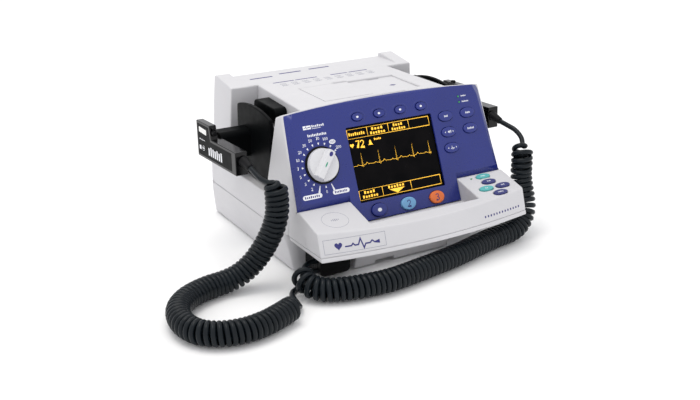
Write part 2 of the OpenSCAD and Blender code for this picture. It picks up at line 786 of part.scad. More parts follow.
module paddle_relief() color(black) translate(relief_pos) rotate([90 + relief_dip, 0, 0]) {
    translate([0, 0, -1]) cylinder(r1 = relief_r[0], r2 = relief_r[1], h = relief_len);
}

module shock_button() color(graphite) translate([button_x, button_y - 2, button_z])
    rotate([-90, 0, 0]) cylinder(r = button_r, h = 13);

module charge_button() color(graphite) translate([button_x, charge_y, charge_z])
    cylinder(r = charge_r, h = 12.5);

// ---- Cords ----

function unit(v) = v / norm(v);
function heading(p, i) = unit(p[min(i + 1, len(p) - 1)] - p[max(i - 1, 0)]);
function square_to(v, t) = unit(v - (v * t) * t);

// One closed tube along points p with radius r[i] at each point
module tube(p, r) {
    n = len(p);
    side = [for (i = 0, s = square_to([1, 0.3, 0.2], heading(p, 0)); i < n;
        i = i + 1, s = square_to(s, heading(p, min(i, n - 1)))) s];
    rings = [for (i = [0:n - 1], k = [0:cord_sides - 1])
        p[i] + r[i] * (cos(360 * k / cord_sides) * side[i]
            + sin(360 * k / cord_sides) * cross(heading(p, i), side[i]))];
    skin_faces = [for (i = [0:n - 2], k = [0:cord_sides - 1])
        let (a = i * cord_sides + k, b = i * cord_sides + (k + 1) % cord_sides)
        each [[a, b, b + cord_sides], [a, b + cord_sides, a + cord_sides]]];
    first = [for (k = [cord_sides - 1:-1:0]) k];
    last = [for (k = [0:cord_sides - 1]) (n - 1) * cord_sides + k];
    polyhedron(rings, concat([first], skin_faces, [last]), convexity = 10);
}

module cord(lead, coil, tail) color(cord_colour)
    tube(concat(lead, coil, tail), concat([for (p = lead) cord_d / 2], [for (p = coil) coil_d / 2],
        [for (p = tail) cord_d / 2]));

// ---- Nodes ----

lower_case();
upper_case();
handle_cover();
front_bezel();
display_window();
display_module();
knob_ring();
energy_switch();
key_board();
main_board();
power_supply();
storage_capacitor();
speaker();
ac_inlet();
printer_tray();
deck_plate();
paddle_rests();
rest_contacts();
feet();
case_screws();
therapy_socket();
monitor_socket();
indicator_lights();
energy_knob();
soft_key(0);  // soft_key_1
soft_key(1);  // soft_key_2
soft_key(2);  // soft_key_3
soft_key(3);  // soft_key_4
round_key(0);  // key_1
round_key(1);  // key_2
round_key(2);  // key_3
side_key(0);  // side_key_1
side_key(1);  // side_key_2
side_key(2);  // side_key_3
side_key(3);  // side_key_4
side_key(4);  // side_key_5
block_key(0);  // block_key_1
block_key(1);  // block_key_2
block_key(2);  // block_key_3
block_key(3);  // block_key_4
block_key(4);  // block_key_5
printer_door();
battery();
paper_roll();
platen_roller();
paddle_shell();  // left_paddle_shell
paddle_electrode();  // left_paddle_electrode
paddle_grip(true, false);  // left_paddle_grip
paddle_window();  // left_paddle_window
paddle_relief();  // left_paddle_relief
shock_button();  // left_shock_button
mirror([1, 0, 0]) paddle_shell();  // right_paddle_shell
mirror([1, 0, 0]) paddle_electrode();  // right_paddle_electrode
mirror([1, 0, 0]) paddle_grip(false, true);  // right_paddle_grip
mirror([1, 0, 0]) paddle_relief();  // right_paddle_relief
mirror([1, 0, 0]) shock_button();  // right_shock_button
mirror([1, 0, 0]) charge_button();  // right_charge_button
therapy_plug();
cord(left_lead, left_coil, left_tail);  // left_cord
cord(right_lead, right_coil, right_tail);  // right_cord
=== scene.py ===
"""Portable defibrillator with external paddles: camera, cords, detailed pieces, finishes, light.

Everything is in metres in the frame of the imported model. MM turns millimetres into metres.
"""

import json
import math

import bmesh
import bpy
from mathutils import Matrix, Vector, geometry
from mathutils.bvhtree import BVHTree
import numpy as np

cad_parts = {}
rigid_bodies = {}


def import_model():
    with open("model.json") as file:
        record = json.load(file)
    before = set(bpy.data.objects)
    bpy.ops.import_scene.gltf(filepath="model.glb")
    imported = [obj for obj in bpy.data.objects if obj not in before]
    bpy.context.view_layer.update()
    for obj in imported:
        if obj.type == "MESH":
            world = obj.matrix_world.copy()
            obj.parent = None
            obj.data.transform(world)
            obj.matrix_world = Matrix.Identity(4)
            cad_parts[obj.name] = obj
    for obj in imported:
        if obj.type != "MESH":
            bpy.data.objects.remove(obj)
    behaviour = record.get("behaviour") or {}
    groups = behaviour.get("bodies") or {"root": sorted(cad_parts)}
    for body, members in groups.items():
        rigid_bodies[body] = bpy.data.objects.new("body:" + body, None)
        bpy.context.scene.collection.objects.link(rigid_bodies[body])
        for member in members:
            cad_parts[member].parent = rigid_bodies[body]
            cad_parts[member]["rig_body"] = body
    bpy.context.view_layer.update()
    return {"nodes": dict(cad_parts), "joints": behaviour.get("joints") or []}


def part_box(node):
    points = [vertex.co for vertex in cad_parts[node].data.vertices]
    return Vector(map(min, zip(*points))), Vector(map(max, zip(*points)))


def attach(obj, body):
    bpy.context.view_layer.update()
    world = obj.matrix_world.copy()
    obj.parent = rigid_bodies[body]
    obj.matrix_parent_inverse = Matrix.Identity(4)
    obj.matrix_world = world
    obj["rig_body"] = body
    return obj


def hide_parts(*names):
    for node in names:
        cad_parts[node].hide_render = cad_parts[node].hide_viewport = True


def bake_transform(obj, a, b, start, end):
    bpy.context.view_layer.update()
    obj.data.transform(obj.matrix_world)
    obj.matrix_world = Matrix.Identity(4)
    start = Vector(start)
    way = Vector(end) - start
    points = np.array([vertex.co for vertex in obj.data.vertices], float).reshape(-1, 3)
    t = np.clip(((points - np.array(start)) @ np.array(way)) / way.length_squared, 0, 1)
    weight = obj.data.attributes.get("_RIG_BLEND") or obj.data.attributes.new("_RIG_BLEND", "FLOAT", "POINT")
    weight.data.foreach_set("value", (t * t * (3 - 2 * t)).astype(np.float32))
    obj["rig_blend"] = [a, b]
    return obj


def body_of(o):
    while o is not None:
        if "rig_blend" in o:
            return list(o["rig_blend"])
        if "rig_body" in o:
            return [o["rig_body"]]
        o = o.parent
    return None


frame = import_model()

MM = 0.001
X = Vector((1, 0, 0))
SIDE_NAMES = {-1: "left", 1: "right"}


# ---- Camera ----

CAMERA_PLACE = (-0.7860, -1.2655, 0.6314)
CAMERA_AIM = (0.47338, 0.80685, -0.35342)
CAMERA_LENS = 54.2
CAMERA_SENSOR = 36
CAMERA_SHIFT = (0.0138, -0.0170)


def aimed(name, data, place, direction):
    """A camera or a light that stands at a place and looks along a direction."""
    made = bpy.data.objects.new(name, data)
    made.location = place
    made.rotation_mode = "QUATERNION"
    made.rotation_quaternion = direction.to_track_quat("-Z", "Y")
    bpy.context.scene.collection.objects.link(made)
    return made


def make_camera():
    data = bpy.data.cameras.new("camera")
    data.lens = CAMERA_LENS
    data.sensor_width = CAMERA_SENSOR
    data.shift_x, data.shift_y = CAMERA_SHIFT
    bpy.context.scene.camera = aimed("camera", data, CAMERA_PLACE, Vector(CAMERA_AIM))


# ---- Places taken from the frame ----

JOINTS = {joint["name"]: joint for joint in frame["joints"]}
KNOB = Vector(JOINTS["energy_knob_turn"]["pos_m"])
PANEL_OUT = Vector(JOINTS["energy_knob_turn"]["axis"]).normalized()
PANEL_UP = PANEL_OUT.cross(X)
BLOCK_OUT = -Vector(JOINTS["block_key_1_press"]["axis"]).normalized()
BLOCK_UP = BLOCK_OUT.cross(X)
KNOB_T = 56.5  # height of the knob's centre up the panel, in mm


def basis(origin, across, up, out):
    """A matrix that puts (x, y, z) at origin + x across + y up + z out."""
    return Matrix.Translation(origin) @ Matrix((across, up, out)).transposed().to_4x4()


PANEL_FOOT = Vector((0, KNOB.y, KNOB.z)) - KNOB_T * MM * PANEL_UP
PANEL = basis(PANEL_FOOT, X, PANEL_UP, PANEL_OUT)
BLOCK = basis(PANEL_FOOT, X, BLOCK_UP, BLOCK_OUT)


def on(matrix, point):
    """A point of the frame in a face's own millimetres."""
    return (matrix.inverted() @ point) / MM


def at(matrix, u, v, n):
    """The point of the frame that lies n mm above (u, v) of a face."""
    return matrix @ (Vector((u, v, n)) * MM)


def extent(name, face):
    """Lowest and highest corner of a CAD node in a face's own millimetres."""
    points = [on(face, vertex.co) for vertex in frame["nodes"][name].data.vertices]
    return (Vector(min(p[axis] for p in points) for axis in range(3)),
            Vector(max(p[axis] for p in points) for axis in range(3)))


def body_name(name):
    return body_of(frame["nodes"][name])[0]


# ---- Mesh helpers ----


def smooth(mesh, angle=35):
    mesh.polygons.foreach_set("use_smooth", [True] * len(mesh.polygons))
    mesh.set_sharp_from_angle(angle=math.radians(angle))


def add_piece(name, mesh, material, body):
    """Links a mesh as a piece that rides on a body, or on none where it blends or is the stage."""
    mesh.materials.append(material)
    piece = bpy.data.objects.new(name, mesh)
    bpy.context.scene.collection.objects.link(piece)
    if body:
        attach(piece, body)
    return piece


def mesh_of(name, points, faces):
    mesh = bpy.data.meshes.new(name)
    mesh.from_pydata([tuple(p) for p in points], [], faces)
    mesh.update()
    return mesh


def band_faces(rings, count, looped=False):
    """Faces between rings of points with the same count, looped or with both ends covered."""
    faces = []
    for ring in range(rings if looped else rings - 1):
        here = ring * count
        there = (ring + 1) % rings * count
        for k in range(count):
            after = (k + 1) % count
            faces.append((here + k, here + after, there + after, there + k))
    if not looped:
        faces.append(tuple(reversed(range(count))))
        faces.append(tuple(range((rings - 1) * count, rings * count)))
    return faces


def loft(name, rings):
    """A closed skin over rings of points, each with the same count."""
    points = [p for ring in rings for p in ring]
    return mesh_of(name, points, band_faces(len(rings), len(rings[0])))


def outline_ellipse(half_x, half_y, count):
    angles = [2 * math.pi * k / count for k in range(count)]
    return [(half_x * math.cos(angle), half_y * math.sin(angle)) for angle in angles]


def outline_rounded(half_x, half_y, radius, steps=6):
    """A rectangle with round corners, counterclockwise from its right side."""
    points = []
    corners = ((1, 1), (-1, 1), (-1, -1), (1, -1))
    for quarter, (sx, sy) in enumerate(corners):
        for k in range(steps + 1):
            angle = math.pi / 2 * (quarter + k / steps)
            points.append((sx * (half_x - radius) + radius * math.cos(angle),
                           sy * (half_y - radius) + radius * math.sin(angle)))
    return points


# ---- Cords ----

CORD_D = 7.5 * MM
COIL_D = 33 * MM
HELIX_R = (COIL_D - CORD_D) / 2
CORD_SIDES = 12
TURN_STEPS = 20
RAMP_TURNS = 0.7  # turns over which the helix opens out at each end
CURVE_STEPS = 24  # points of the curve from one route point to the next
END_EVERY = 4  # one in so many of them is kept where the cord isn't coiled
TINY = 1e-9  # keeps a division by the length of a step safe
FINE = 20  # samples for each curve point when the turns are given their places
LANDING = 8  # the coil point where each cord reaches the floor

LEFT_ROUTE = {
    "lead": [(-213, -50.5, 154), (-212, -63, 150), (-210, -76, 146), (-206, -89, 145)],
    "coil": [
        (-202, -98, 146), (-201, -101, 134), (-201, -103, 118), (-203, -104, 101),
        (-208, -103, 84), (-216, -101, 67), (-226, -98, 50), (-240, -95, 34),
        (-258, -92, 22), (-278, -91, 17), (-298, -94, 17), (-320, -101, 17),
        (-341, -113, 17), (-358, -132, 17), (-367, -157, 17), (-367, -183, 17),
        (-358, -205, 17), (-338, -220, 17), (-310, -226, 17), (-281, -222, 17),
        (-254, -212, 17), (-230, -201, 17)],
    "tail": [(-218, -193, 11), (-211, -180, 4), (-208, -163, 4), (-205, -149, 4),
             (-197, -138, 4), (-182, -131, 5), (-168, -123, 9), (-157, -117, 14), (-148, -117, 14)],
}
RIGHT_ROUTE = {
    "lead": [(213, -50.5, 154), (214, -65, 152), (217, -81, 148), (217, -96, 140)],
    "coil": [
        (211, -107, 131), (206, -113, 120), (205, -115, 105), (205, -115, 90),
        (205, -119, 74), (204, -126, 58), (200, -134, 42), (188, -141, 26),
        (168, -147, 18), (144, -151, 17), (118, -156, 17), (92, -163, 17),
        (64, -171, 17), (35, -178, 17), (5, -184, 17), (-25, -189, 17),
        (-54, -194, 17), (-82, -197, 17), (-108, -196, 17), (-132, -193, 17),
        (-154, -187, 17), (-172, -178, 17), (-185, -167, 20), (-189, -155, 25),
        (-185, -144, 29)],
    "tail": [(-178, -133, 31), (-169, -123, 30), (-158, -116, 29), (-148, -115, 28)],
}

# Each cord's route, its number of turns and its length along the wire in metres
CORDS = {-1: (LEFT_ROUTE, 66, 5.4), 1: (RIGHT_ROUTE, 68, 5.5)}


def curve_through(points):
    """Points along a Catmull-Rom curve through the given ones."""
    guides = [2 * points[0] - points[1], *points, 2 * points[-1] - points[-2]]
    curve = []
    for a, b, c, d in zip(guides, guides[1:], guides[2:], guides[3:]):
        for k in range(CURVE_STEPS):
            t = k / CURVE_STEPS
            curve.append(0.5 * (2 * b + (c - a) * t + (2 * a - 5 * b + 4 * c - d) * t * t
                                + (3 * b - a - 3 * c + d) * t ** 3))
    return curve + [points[-1]]


def spread(points, reach, count):
    """count + 1 points along a curve, at equal steps of a reach that grows along it."""
    places, k = [], 0
    for i in range(count + 1):
        target = reach[-1] * i / count
        while k < len(points) - 2 and reach[k + 1] < target:
            k += 1
        share = (target - reach[k]) / max(reach[k + 1] - reach[k], TINY)
        places.append(points[k].lerp(points[k + 1], share))
    return places


def evenly(points, count):
    """The same curve with count + 1 points at equal distances along it."""
    reach = [0.0]
    for a, b in zip(points, points[1:]):
        reach.append(reach[-1] + (b - a).length)
    return spread(points, reach, count)


def coil_places(points, count):
    """The same curve with count + 1 points, further apart where it bends, so turns don't meet."""
    fine = evenly(points, FINE * len(points))
    headings = directions(fine)
    reach = [0.0]
    for a, b, before, after in zip(fine, fine[1:], headings, headings[1:]):
        step = (b - a).length
        reach.append(reach[-1] + step / (1 + COIL_D / 2 * (after - before).length / step))
    return spread(fine, reach, count)


def directions(points):
    last = len(points) - 1
    return [(points[min(i + 1, last)] - points[max(i - 1, 0)]).normalized()
            for i in range(last + 1)]


def side_vectors(points, start):
    """Vectors square to the curve that turn as little as they can along it."""
    sides = []
    side = start
    for heading in directions(points):
        side = (side - side.dot(heading) * heading).normalized()
        sides.append(side)
    return sides


def circle(centre, radius, side, other, count):
    """Points round a centre, in the plane of two vectors that are square to each other."""
    return [centre + radius * (math.cos(2 * math.pi * k / count) * side
                               + math.sin(2 * math.pi * k / count) * other)
            for k in range(count)]


def curly_path(route, turns):
    """The middle of the wire: straight lead, helix round the coil's middle line, straight tail."""
    lead, coil, tail = ([Vector(p) * MM for p in route[part]] for part in ("lead", "coil", "tail"))
    whole = curve_through(lead + coil + tail)
    coil_from = CURVE_STEPS * len(lead)
    coil_to = CURVE_STEPS * (len(lead) + len(coil) - 1)
    middle_line = coil_places(whole[coil_from:coil_to + 1], turns * TURN_STEPS)
    sides = side_vectors(middle_line, X)
    ramp = RAMP_TURNS * TURN_STEPS
    helix = []
    for i, (centre, heading, side) in enumerate(zip(middle_line, directions(middle_line), sides)):
        ease = min(1.0, i / ramp, (len(middle_line) - 1 - i) / ramp)
        radius = HELIX_R * math.sin(ease * math.pi / 2)
        angle = 2 * math.pi * i / TURN_STEPS
        helix.append(centre + radius * (math.cos(angle) * side
                                        + math.sin(angle) * heading.cross(side)))
    lead_path = whole[:coil_from:END_EVERY]
    tail_path = whole[coil_to + END_EVERY::END_EVERY]
    return lead_path + helix + tail_path + [whole[-1]]


def tube_mesh(name, path, radius, sides):
    rings = [circle(centre, radius, side, heading.cross(side), sides)
             for centre, heading, side in zip(path, directions(path), side_vectors(path, X))]
    return loft(name, rings)


def make_cord(side, route, turns):
    """A paddle's curly cord; its upper part stretches when the paddle is lifted."""
    name = SIDE_NAMES[side] + "_curly_cord"
    path = curly_path(route, turns)
    mesh = tube_mesh(name, path, CORD_D / 2, CORD_SIDES)
    smooth(mesh, 60)
    cord = add_piece(name, mesh, CORD, None)
    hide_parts(SIDE_NAMES[side] + "_cord")
    landing = Vector(route["coil"][LANDING]) * MM
    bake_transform(cord, SIDE_NAMES[side] + "_paddle", "housing", path[0], landing)


# ---- Finishes ----


class Finish:
    """A new material with the given fixed values on its Principled shader."""

    def __init__(self, name, **values):
        self.material = bpy.data.materials.new(name)
        self.material.use_nodes = True
        self.tree = self.material.node_tree
        self.principled = self.tree.nodes["Principled BSDF"]
        for socket, value in values.items():
            self.principled.inputs[socket.replace("_", " ")].default_value = value

    def node(self, kind, values=None):
        made = self.tree.nodes.new(kind)
        for socket, value in (values or {}).items():
            made.inputs[socket].default_value = value
        return made

    def link(self, made, output, target, socket):
        self.tree.links.new(made.outputs[output], target.inputs[socket])

    def noise(self, per_metre, detail, stretch=(1, 1, 1)):
        """Noise with a given number of features to the metre."""
        place = self.node("ShaderNodeTexCoord")
        mapping = self.node("ShaderNodeMapping", {"Scale": stretch})
        texture = self.node("ShaderNodeTexNoise", {"Scale": per_metre, "Detail": detail})
        self.link(place, "Object", mapping, "Vector")
        self.link(mapping, "Vector", texture, "Vector")
        return texture

    def colour(self, noise, dark, light):
        ramp = self.node("ShaderNodeValToRGB")
        for stop, place, colour in zip(ramp.color_ramp.elements, (0.35, 0.65), (dark, light)):
            stop.position = place
            stop.color = (*colour, 1)
        self.link(noise, "Fac", ramp, "Fac")
        self.link(ramp, "Color", self.principled, "Base Color")
        return ramp

    def roughness(self, noise, low, high):
        spread = self.node("ShaderNodeMapRange",
                           {"From Min": 0.3, "From Max": 0.7, "To Min": low, "To Max": high})
        self.link(noise, "Fac", spread, "Value")
        self.link(spread, "Result", self.principled, "Roughness")

    def bump(self, noise, depth):
        made = self.node("ShaderNodeBump", {"Distance": depth, "Strength": 1.0})
        self.link(noise, "Fac", made, "Height")
        self.link(made, "Normal", self.principled, "Normal")


def tint(colour, factor):
    return tuple(min(1.0, c * factor) for c in colour)


def moulded(name, colour, roughness, grain=1400, depth=0.00002, mottle=0.03, **values):
    """Moulded plastic or rubber: fine spark-eroded grain, faint mottling, uneven gloss."""
    finish = Finish(name, **values)
    finish.colour(finish.noise(14, 5), tint(colour, 1 - mottle), tint(colour, 1 + mottle))
    finish.roughness(finish.noise(90, 4), roughness - 0.05, roughness + 0.07)
    finish.bump(finish.noise(grain, 2), depth)
    return finish.material


def brushed(name, colour, roughness, along):
    """Metal with fine scratches drawn out along one axis."""
    finish = Finish(name, Metallic=1.0)
    scratches = finish.noise(900, 3, tuple(0.03 if axis == along else 1 for axis in range(3)))
    finish.colour(finish.noise(30, 4), tint(colour, 0.9), tint(colour, 1.08))
    finish.roughness(scratches, roughness - 0.08, roughness + 0.1)
    finish.bump(scratches, 0.00002)
    return finish.material


def board():
    """Printed circuit board: lacquer over fine copper tracks."""
    finish = Finish("board_green", Roughness=0.35)
    place = finish.node("ShaderNodeTexCoord")
    tracks = finish.node("ShaderNodeTexBrick", {"Scale": 180.0, "Mortar Size": 0.03,
                                                "Color1": (0.02, 0.16, 0.07, 1),
                                                "Color2": (0.03, 0.20, 0.09, 1),
                                                "Mortar": (0.10, 0.34, 0.16, 1)})
    finish.link(place, "Object", tracks, "Vector")
    finish.link(tracks, "Color", finish.principled, "Base Color")
    finish.bump(finish.noise(500, 2), 0.00003)
    return finish.material


def glowing(name, colour, strength):
    """Lit phosphor: uneven brightness over fine rows."""
    finish = Finish(name, Roughness=0.4, Emission_Strength=strength)
    ramp = finish.colour(finish.noise(700, 2), tint(colour, 0.75), colour)
    finish.link(ramp, "Color", finish.principled, "Emission Color")
    return finish.material


def display_glass():
    """Dark display behind clear glass with a faint ripple."""
    finish = Finish("display_glass", IOR=1.12)
    finish.colour(finish.noise(40, 3), (0.0015, 0.0015, 0.002), (0.004, 0.0035, 0.004))
    finish.roughness(finish.noise(60, 3), 0.16, 0.26)
    finish.bump(finish.noise(300, 2), 0.000004)
    return finish.material


def paper_finish():
    finish = Finish("paper", Roughness=0.85)
    finish.colour(finish.noise(500, 5, (1, 0.2, 1)), (0.78, 0.78, 0.75), (0.9, 0.9, 0.87))
    finish.bump(finish.noise(1500, 4), 0.00003)
    return finish.material


def key_cap(name, colour):
    return moulded(name, colour, 0.42, 2600, 0.00001)


def ink(name, colour, mottle):
    return moulded(name, colour, 0.5, 3000, 0.000004, mottle)


CASE = moulded("case_white", (0.585, 0.580, 0.600), 0.45, 1500, 0.00002, 0.012)
PANEL_BLUE = moulded("panel_blue", (0.011, 0.021, 0.180), 0.28, 2200, 0.00001, 0.05)
KEY_BLUE = moulded("key_blue", (0.015, 0.026, 0.200), 0.34, 2600, 0.00001, 0.05)
KEY_SKY = key_cap("key_light_blue", (0.16, 0.37, 0.62))
KEY_ORANGE = key_cap("key_orange", (0.78, 0.17, 0.035))
KEY_TEAL = key_cap("key_teal", (0.08, 0.40, 0.40))
KEY_NAVY = key_cap("key_navy", (0.02, 0.025, 0.15))
KNOB_WHITE = moulded("knob_white", (0.64, 0.64, 0.66), 0.3, 1800, 0.00001, 0.02)
PADDLE_GLOSS = moulded("paddle_gloss", (0.002, 0.002, 0.0025), 0.12, 1200, 0.000006, 0.2,
                       Specular_IOR_Level=0.3)
PADDLE_MATTE = moulded("paddle_black", (0.003, 0.0035, 0.004), 0.4, mottle=0.1, IOR=1.12)
DARK = moulded("dark_plastic", (0.007, 0.007, 0.008), 0.45, mottle=0.1, Specular_IOR_Level=0.12)
GREY = moulded("button_grey", (0.10, 0.105, 0.115), 0.5, mottle=0.06)
CORD = moulded("cord_jacket", (0.005, 0.008, 0.011), 0.3, 1800, 0.00002, 0.12,
               Specular_IOR_Level=0.2)
ROLLER = moulded("roller_rubber", (0.015, 0.015, 0.015), 0.7, 1200, 0.00004, 0.15)
FOOT = moulded("foot_rubber", (0.018, 0.018, 0.018), 0.75, 900, 0.00005, 0.15)
WINDOW = moulded("window_white", (0.78, 0.78, 0.76), 0.3, 2500, 0.000005, 0.03)
WHITE_INK = ink("white_ink", (0.82, 0.83, 0.86), 0.03)
BLUE_INK = ink("blue_ink", (0.022, 0.020, 0.16), 0.08)
GREY_INK = ink("grey_ink", (0.17, 0.18, 0.25), 0.05)
GREEN_INK = ink("green_ink", (0.02, 0.28, 0.16), 0.05)
STEEL = brushed("electrode_steel", (0.62, 0.62, 0.64), 0.28, 2)
SCREW = brushed("screw_steel", (0.5, 0.5, 0.52), 0.35, 0)
SHEET = brushed("supply_metal", (0.55, 0.55, 0.56), 0.4, 1)
SLEEVE = moulded("capacitor_sleeve", (0.02, 0.02, 0.12), 0.25, 300, 0.00005, 0.1)
BOARD = board()
PAPER = paper_finish()
GLASS = display_glass()
AMBER = glowing("amber", (1.0, 0.55, 0.04), 0.85)
LENS = glowing("indicator", (0.05, 0.30, 0.12), 0.15)


# ---- CAD pieces that stay ----

CARRIED = {
    GLASS: ["display_window"],
    DARK: ["display_module", "knob_ring", "energy_switch", "speaker", "therapy_socket"],
    GREY: ["printer_tray", "monitor_socket", "left_shock_button", "right_shock_button"],
    BOARD: ["key_board", "main_board"],
    SHEET: ["power_supply"],
    SLEEVE: ["storage_capacitor"],
    STEEL: ["rest_contacts", "left_paddle_electrode", "right_paddle_electrode"],
    ROLLER: ["platen_roller"],
    SCREW: ["case_screws"],
    LENS: ["indicator_lights"],
    PAPER: ["paper_roll"],
}


def dress_carried():
    for material, names in CARRIED.items():
        for name in names:
            mesh_data = frame["nodes"][name].data
            mesh_data.materials.clear()
            mesh_data.materials.append(material)


# ---- Moulded pieces: the CAD shapes with rounded outer edges ----

WELD = 0.02 * MM  # closer points are made one
FLAT = math.radians(0.6)  # faces that meet at less are made one
SHARP = math.radians(25)  # edges that turn more are rounded
CLEAR = 0.3 * MM  # from an edge to where the look outward starts
TOO_FAR = 0.62  # of the rounding's width, from the CAD surface
NEAR = 2.2  # of the rounding's width, from a spot where it failed
TRIALS = 8
CROSSED = 1 * MM * MM  # area that a face's triangles may cover beyond the face
SAME_PLACE = 0.001 * MM

MOULDED = {
    "upper_case": (2.0, CASE), "lower_case": (2.0, CASE), "handle_cover": (1.6, CASE),
    "printer_door": (0.5, CASE), "deck_plate": (0.4, CASE), "front_bezel": (0.9, PANEL_BLUE),
    "energy_knob": (0.9, KNOB_WHITE), "battery": (0.8, GREY),
    "ac_inlet": (0.4, DARK), "feet": (0.4, FOOT), "paddle_rests": (1.5, PADDLE_MATTE),
    "left_paddle_shell": (1.6, PADDLE_MATTE), "right_paddle_shell": (1.6, PADDLE_MATTE),
    "left_paddle_grip": (1.0, PADDLE_GLOSS), "right_paddle_grip": (1.0, PADDLE_GLOSS),
    "left_paddle_window": (0.3, WINDOW), "right_charge_button": (0.8, DARK),
    "left_shock_button": (0.8, DARK), "right_shock_button": (0.8, DARK),
}

PANEL_KEYS = [f"soft_key_{i}" for i in (1, 2, 3, 4)] + [f"key_{i}" for i in (1, 2, 3)]
PANEL_KEYS += [f"side_key_{i}" for i in (1, 2, 3, 4, 5)]
BLOCK_KEYS = [f"block_key_{i}" for i in (1, 2, 3, 4, 5)]
# The piece that keys stand in, with the keys and their face
KEY_HOLES = {"front_bezel": (PANEL_KEYS, PANEL), "upper_case": (BLOCK_KEYS, BLOCK)}
KEY_FLANGE = 0.7
KEY_GAP = 0.4
HOLE_NEAR = 0.15  # from the outline of a key's hole, for the points on its edge
HOLE_REACH = 15  # above and below the face, for the same points


def key_place(name, face):
    """Centre and half size of a key's cap in its face's millimetres, without the hidden flange."""
    low, high = extent(name, face)
    return (low + high) / 2, (high - low) / 2 - Vector((KEY_FLANGE, KEY_FLANGE, 0))


def clean_copy(name):
    """A CAD node's mesh with each flat face in one piece again."""
    work = bmesh.new()
    work.from_mesh(frame["nodes"][name].data)
    bmesh.ops.remove_doubles(work, verts=work.verts, dist=WELD)
    bmesh.ops.dissolve_limit(work, angle_limit=FLAT, use_dissolve_boundaries=False,
                             verts=work.verts, edges=work.edges, delimit=set())
    bmesh.ops.dissolve_degenerate(work, dist=WELD, edges=work.edges)
    return work


def make_hole_oval(work, face, centre, half):
    """Moves the edge of a hole with straight sides in to the oval that fits inside it."""
    reach_x, reach_t = half.x + KEY_GAP, half.y + KEY_GAP
    straight = reach_x - reach_t
    for vertex in work.verts:
        point = on(face, vertex.co)
        dx, dt = point.x - centre.x, point.y - centre.y
        beyond = math.hypot(max(abs(dx) - straight, 0), dt) - reach_t
        if abs(beyond) > HOLE_NEAR or abs(point.z) > HOLE_REACH:
            continue
        angle = math.atan2(dt / reach_t, dx / reach_x)
        vertex.co = at(face, centre.x + reach_x * math.cos(angle),
                       centre.y + reach_t * math.sin(angle), point.z)


def outer_edges(work, surface, skipped):
    """Sharp outward edges with nothing of the same piece in front of them."""
    found = []
    for edge in work.edges:
        if edge.index in skipped or len(edge.link_faces) != 2:
            continue
        if edge.calc_face_angle_signed(0) < SHARP:
            continue
        out = (edge.link_faces[0].normal + edge.link_faces[1].normal).normalized()
        start = (edge.verts[0].co + edge.verts[1].co) / 2 + CLEAR * out
        if surface.ray_cast(start, out, 1.0)[0] is None:
            found.append(edge)
    return found


def distance_to_edge(point, ends):
    start, end = ends
    along = end - start
    share = (point - start).dot(along) / max(along.length_squared, 1e-12)
    return (start + along * min(1.0, max(0.0, share)) - point).length


def round_edges(base, width):
    """Rounds the outer edges, and leaves out those whose rounding would run off the surface."""
    surface = BVHTree.FromBMesh(base)
    skipped = set()
    for _ in range(TRIALS):
        work = base.copy()
        work.edges.index_update()
        edges = outer_edges(work, surface, skipped)
        ends = {e.index: (e.verts[0].co.copy(), e.verts[1].co.copy()) for e in edges}
        bmesh.ops.bevel(work, geom=edges, offset=width, offset_type="OFFSET", segments=3,
                        profile=0.5, affect="EDGES", clamp_overlap=False)
        hits = [surface.find_nearest(vertex.co) for vertex in work.verts]
        failed = [place for place, _, _, distance in hits if distance > TOO_FAR * width]
        if not failed:
            break
        for place in failed:
            near = [index for index, pair in ends.items()
                    if distance_to_edge(place, pair) < NEAR * width]
            closest = min(ends, key=lambda index: distance_to_edge(place, ends[index]))
            skipped.update(near or [closest])
    return work


def crossed_faces(work):
    """Faces whose own triangles cover more than the face does, because their edges cross."""
    work.normal_update()
    covered = {}
    for corners in work.calc_loop_triangles():
        area = geometry.area_tri(*(corner.vert.co for corner in corners))
        covered[corners[0].face] = covered.get(corners[0].face, 0.0) + area
    return [face for face, area in covered.items() if area > face.calc_area() + CROSSED]


def refill(work, face):
    """Replaces a face by triangles that keep to its inside."""
    verts = list(face.verts)
    lengths = [(after.co - vertex.co).length for vertex, after in zip(verts, verts[1:] + verts[:1])]
    first = lengths.index(max(lengths))
    verts = verts[first:] + verts[:first]
    normal = face.normal.copy()
    across = (verts[1].co - verts[0].co).normalized()
    up = normal.cross(across)
    level = normal.dot(face.calc_center_median())
    outline = [Vector((vertex.co.dot(across), vertex.co.dot(up))) for vertex in verts]
    places, _, triangles, sources, _, _ = geometry.delaunay_2d_cdt(
        outline, [], [list(range(len(outline)))], 1, SAME_PLACE)
    corners = [verts[source[0]] if source
               else work.verts.new(place.x * across + place.y * up + level * normal)
               for place, source in zip(places, sources)]
    bmesh.ops.delete(work, geom=[face], context="FACES_ONLY")
    for triangle in triangles:
        chosen = [corners[i] for i in triangle]
        if work.faces.get(chosen) is None:
            work.faces.new(chosen)


def add_moulded(name, width, material):
    """A visible piece with rounded edges that stands for a CAD node."""
    base = clean_copy(name)
    keys, face = KEY_HOLES.get(name, ((), None))
    for key in keys:
        make_hole_oval(base, face, *key_place(key, face))
    base.normal_update()
    work = round_edges(base, width * MM)
    for crossed in crossed_faces(work):
        refill(work, crossed)
    mesh = bpy.data.meshes.new(name + "_moulded")
    work.to_mesh(mesh)
    smooth(mesh)
    piece = add_piece(name + "_moulded", mesh, material, body_name(name))
    weighted = piece.modifiers.new("weighted", "WEIGHTED_NORMAL")
    weighted.keep_sharp = True
    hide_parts(name)
    return piece


def add_moulded_pieces():
    for name, (width, material) in MOULDED.items():
        add_moulded(name, width, material)


# ---- Printed marks ----

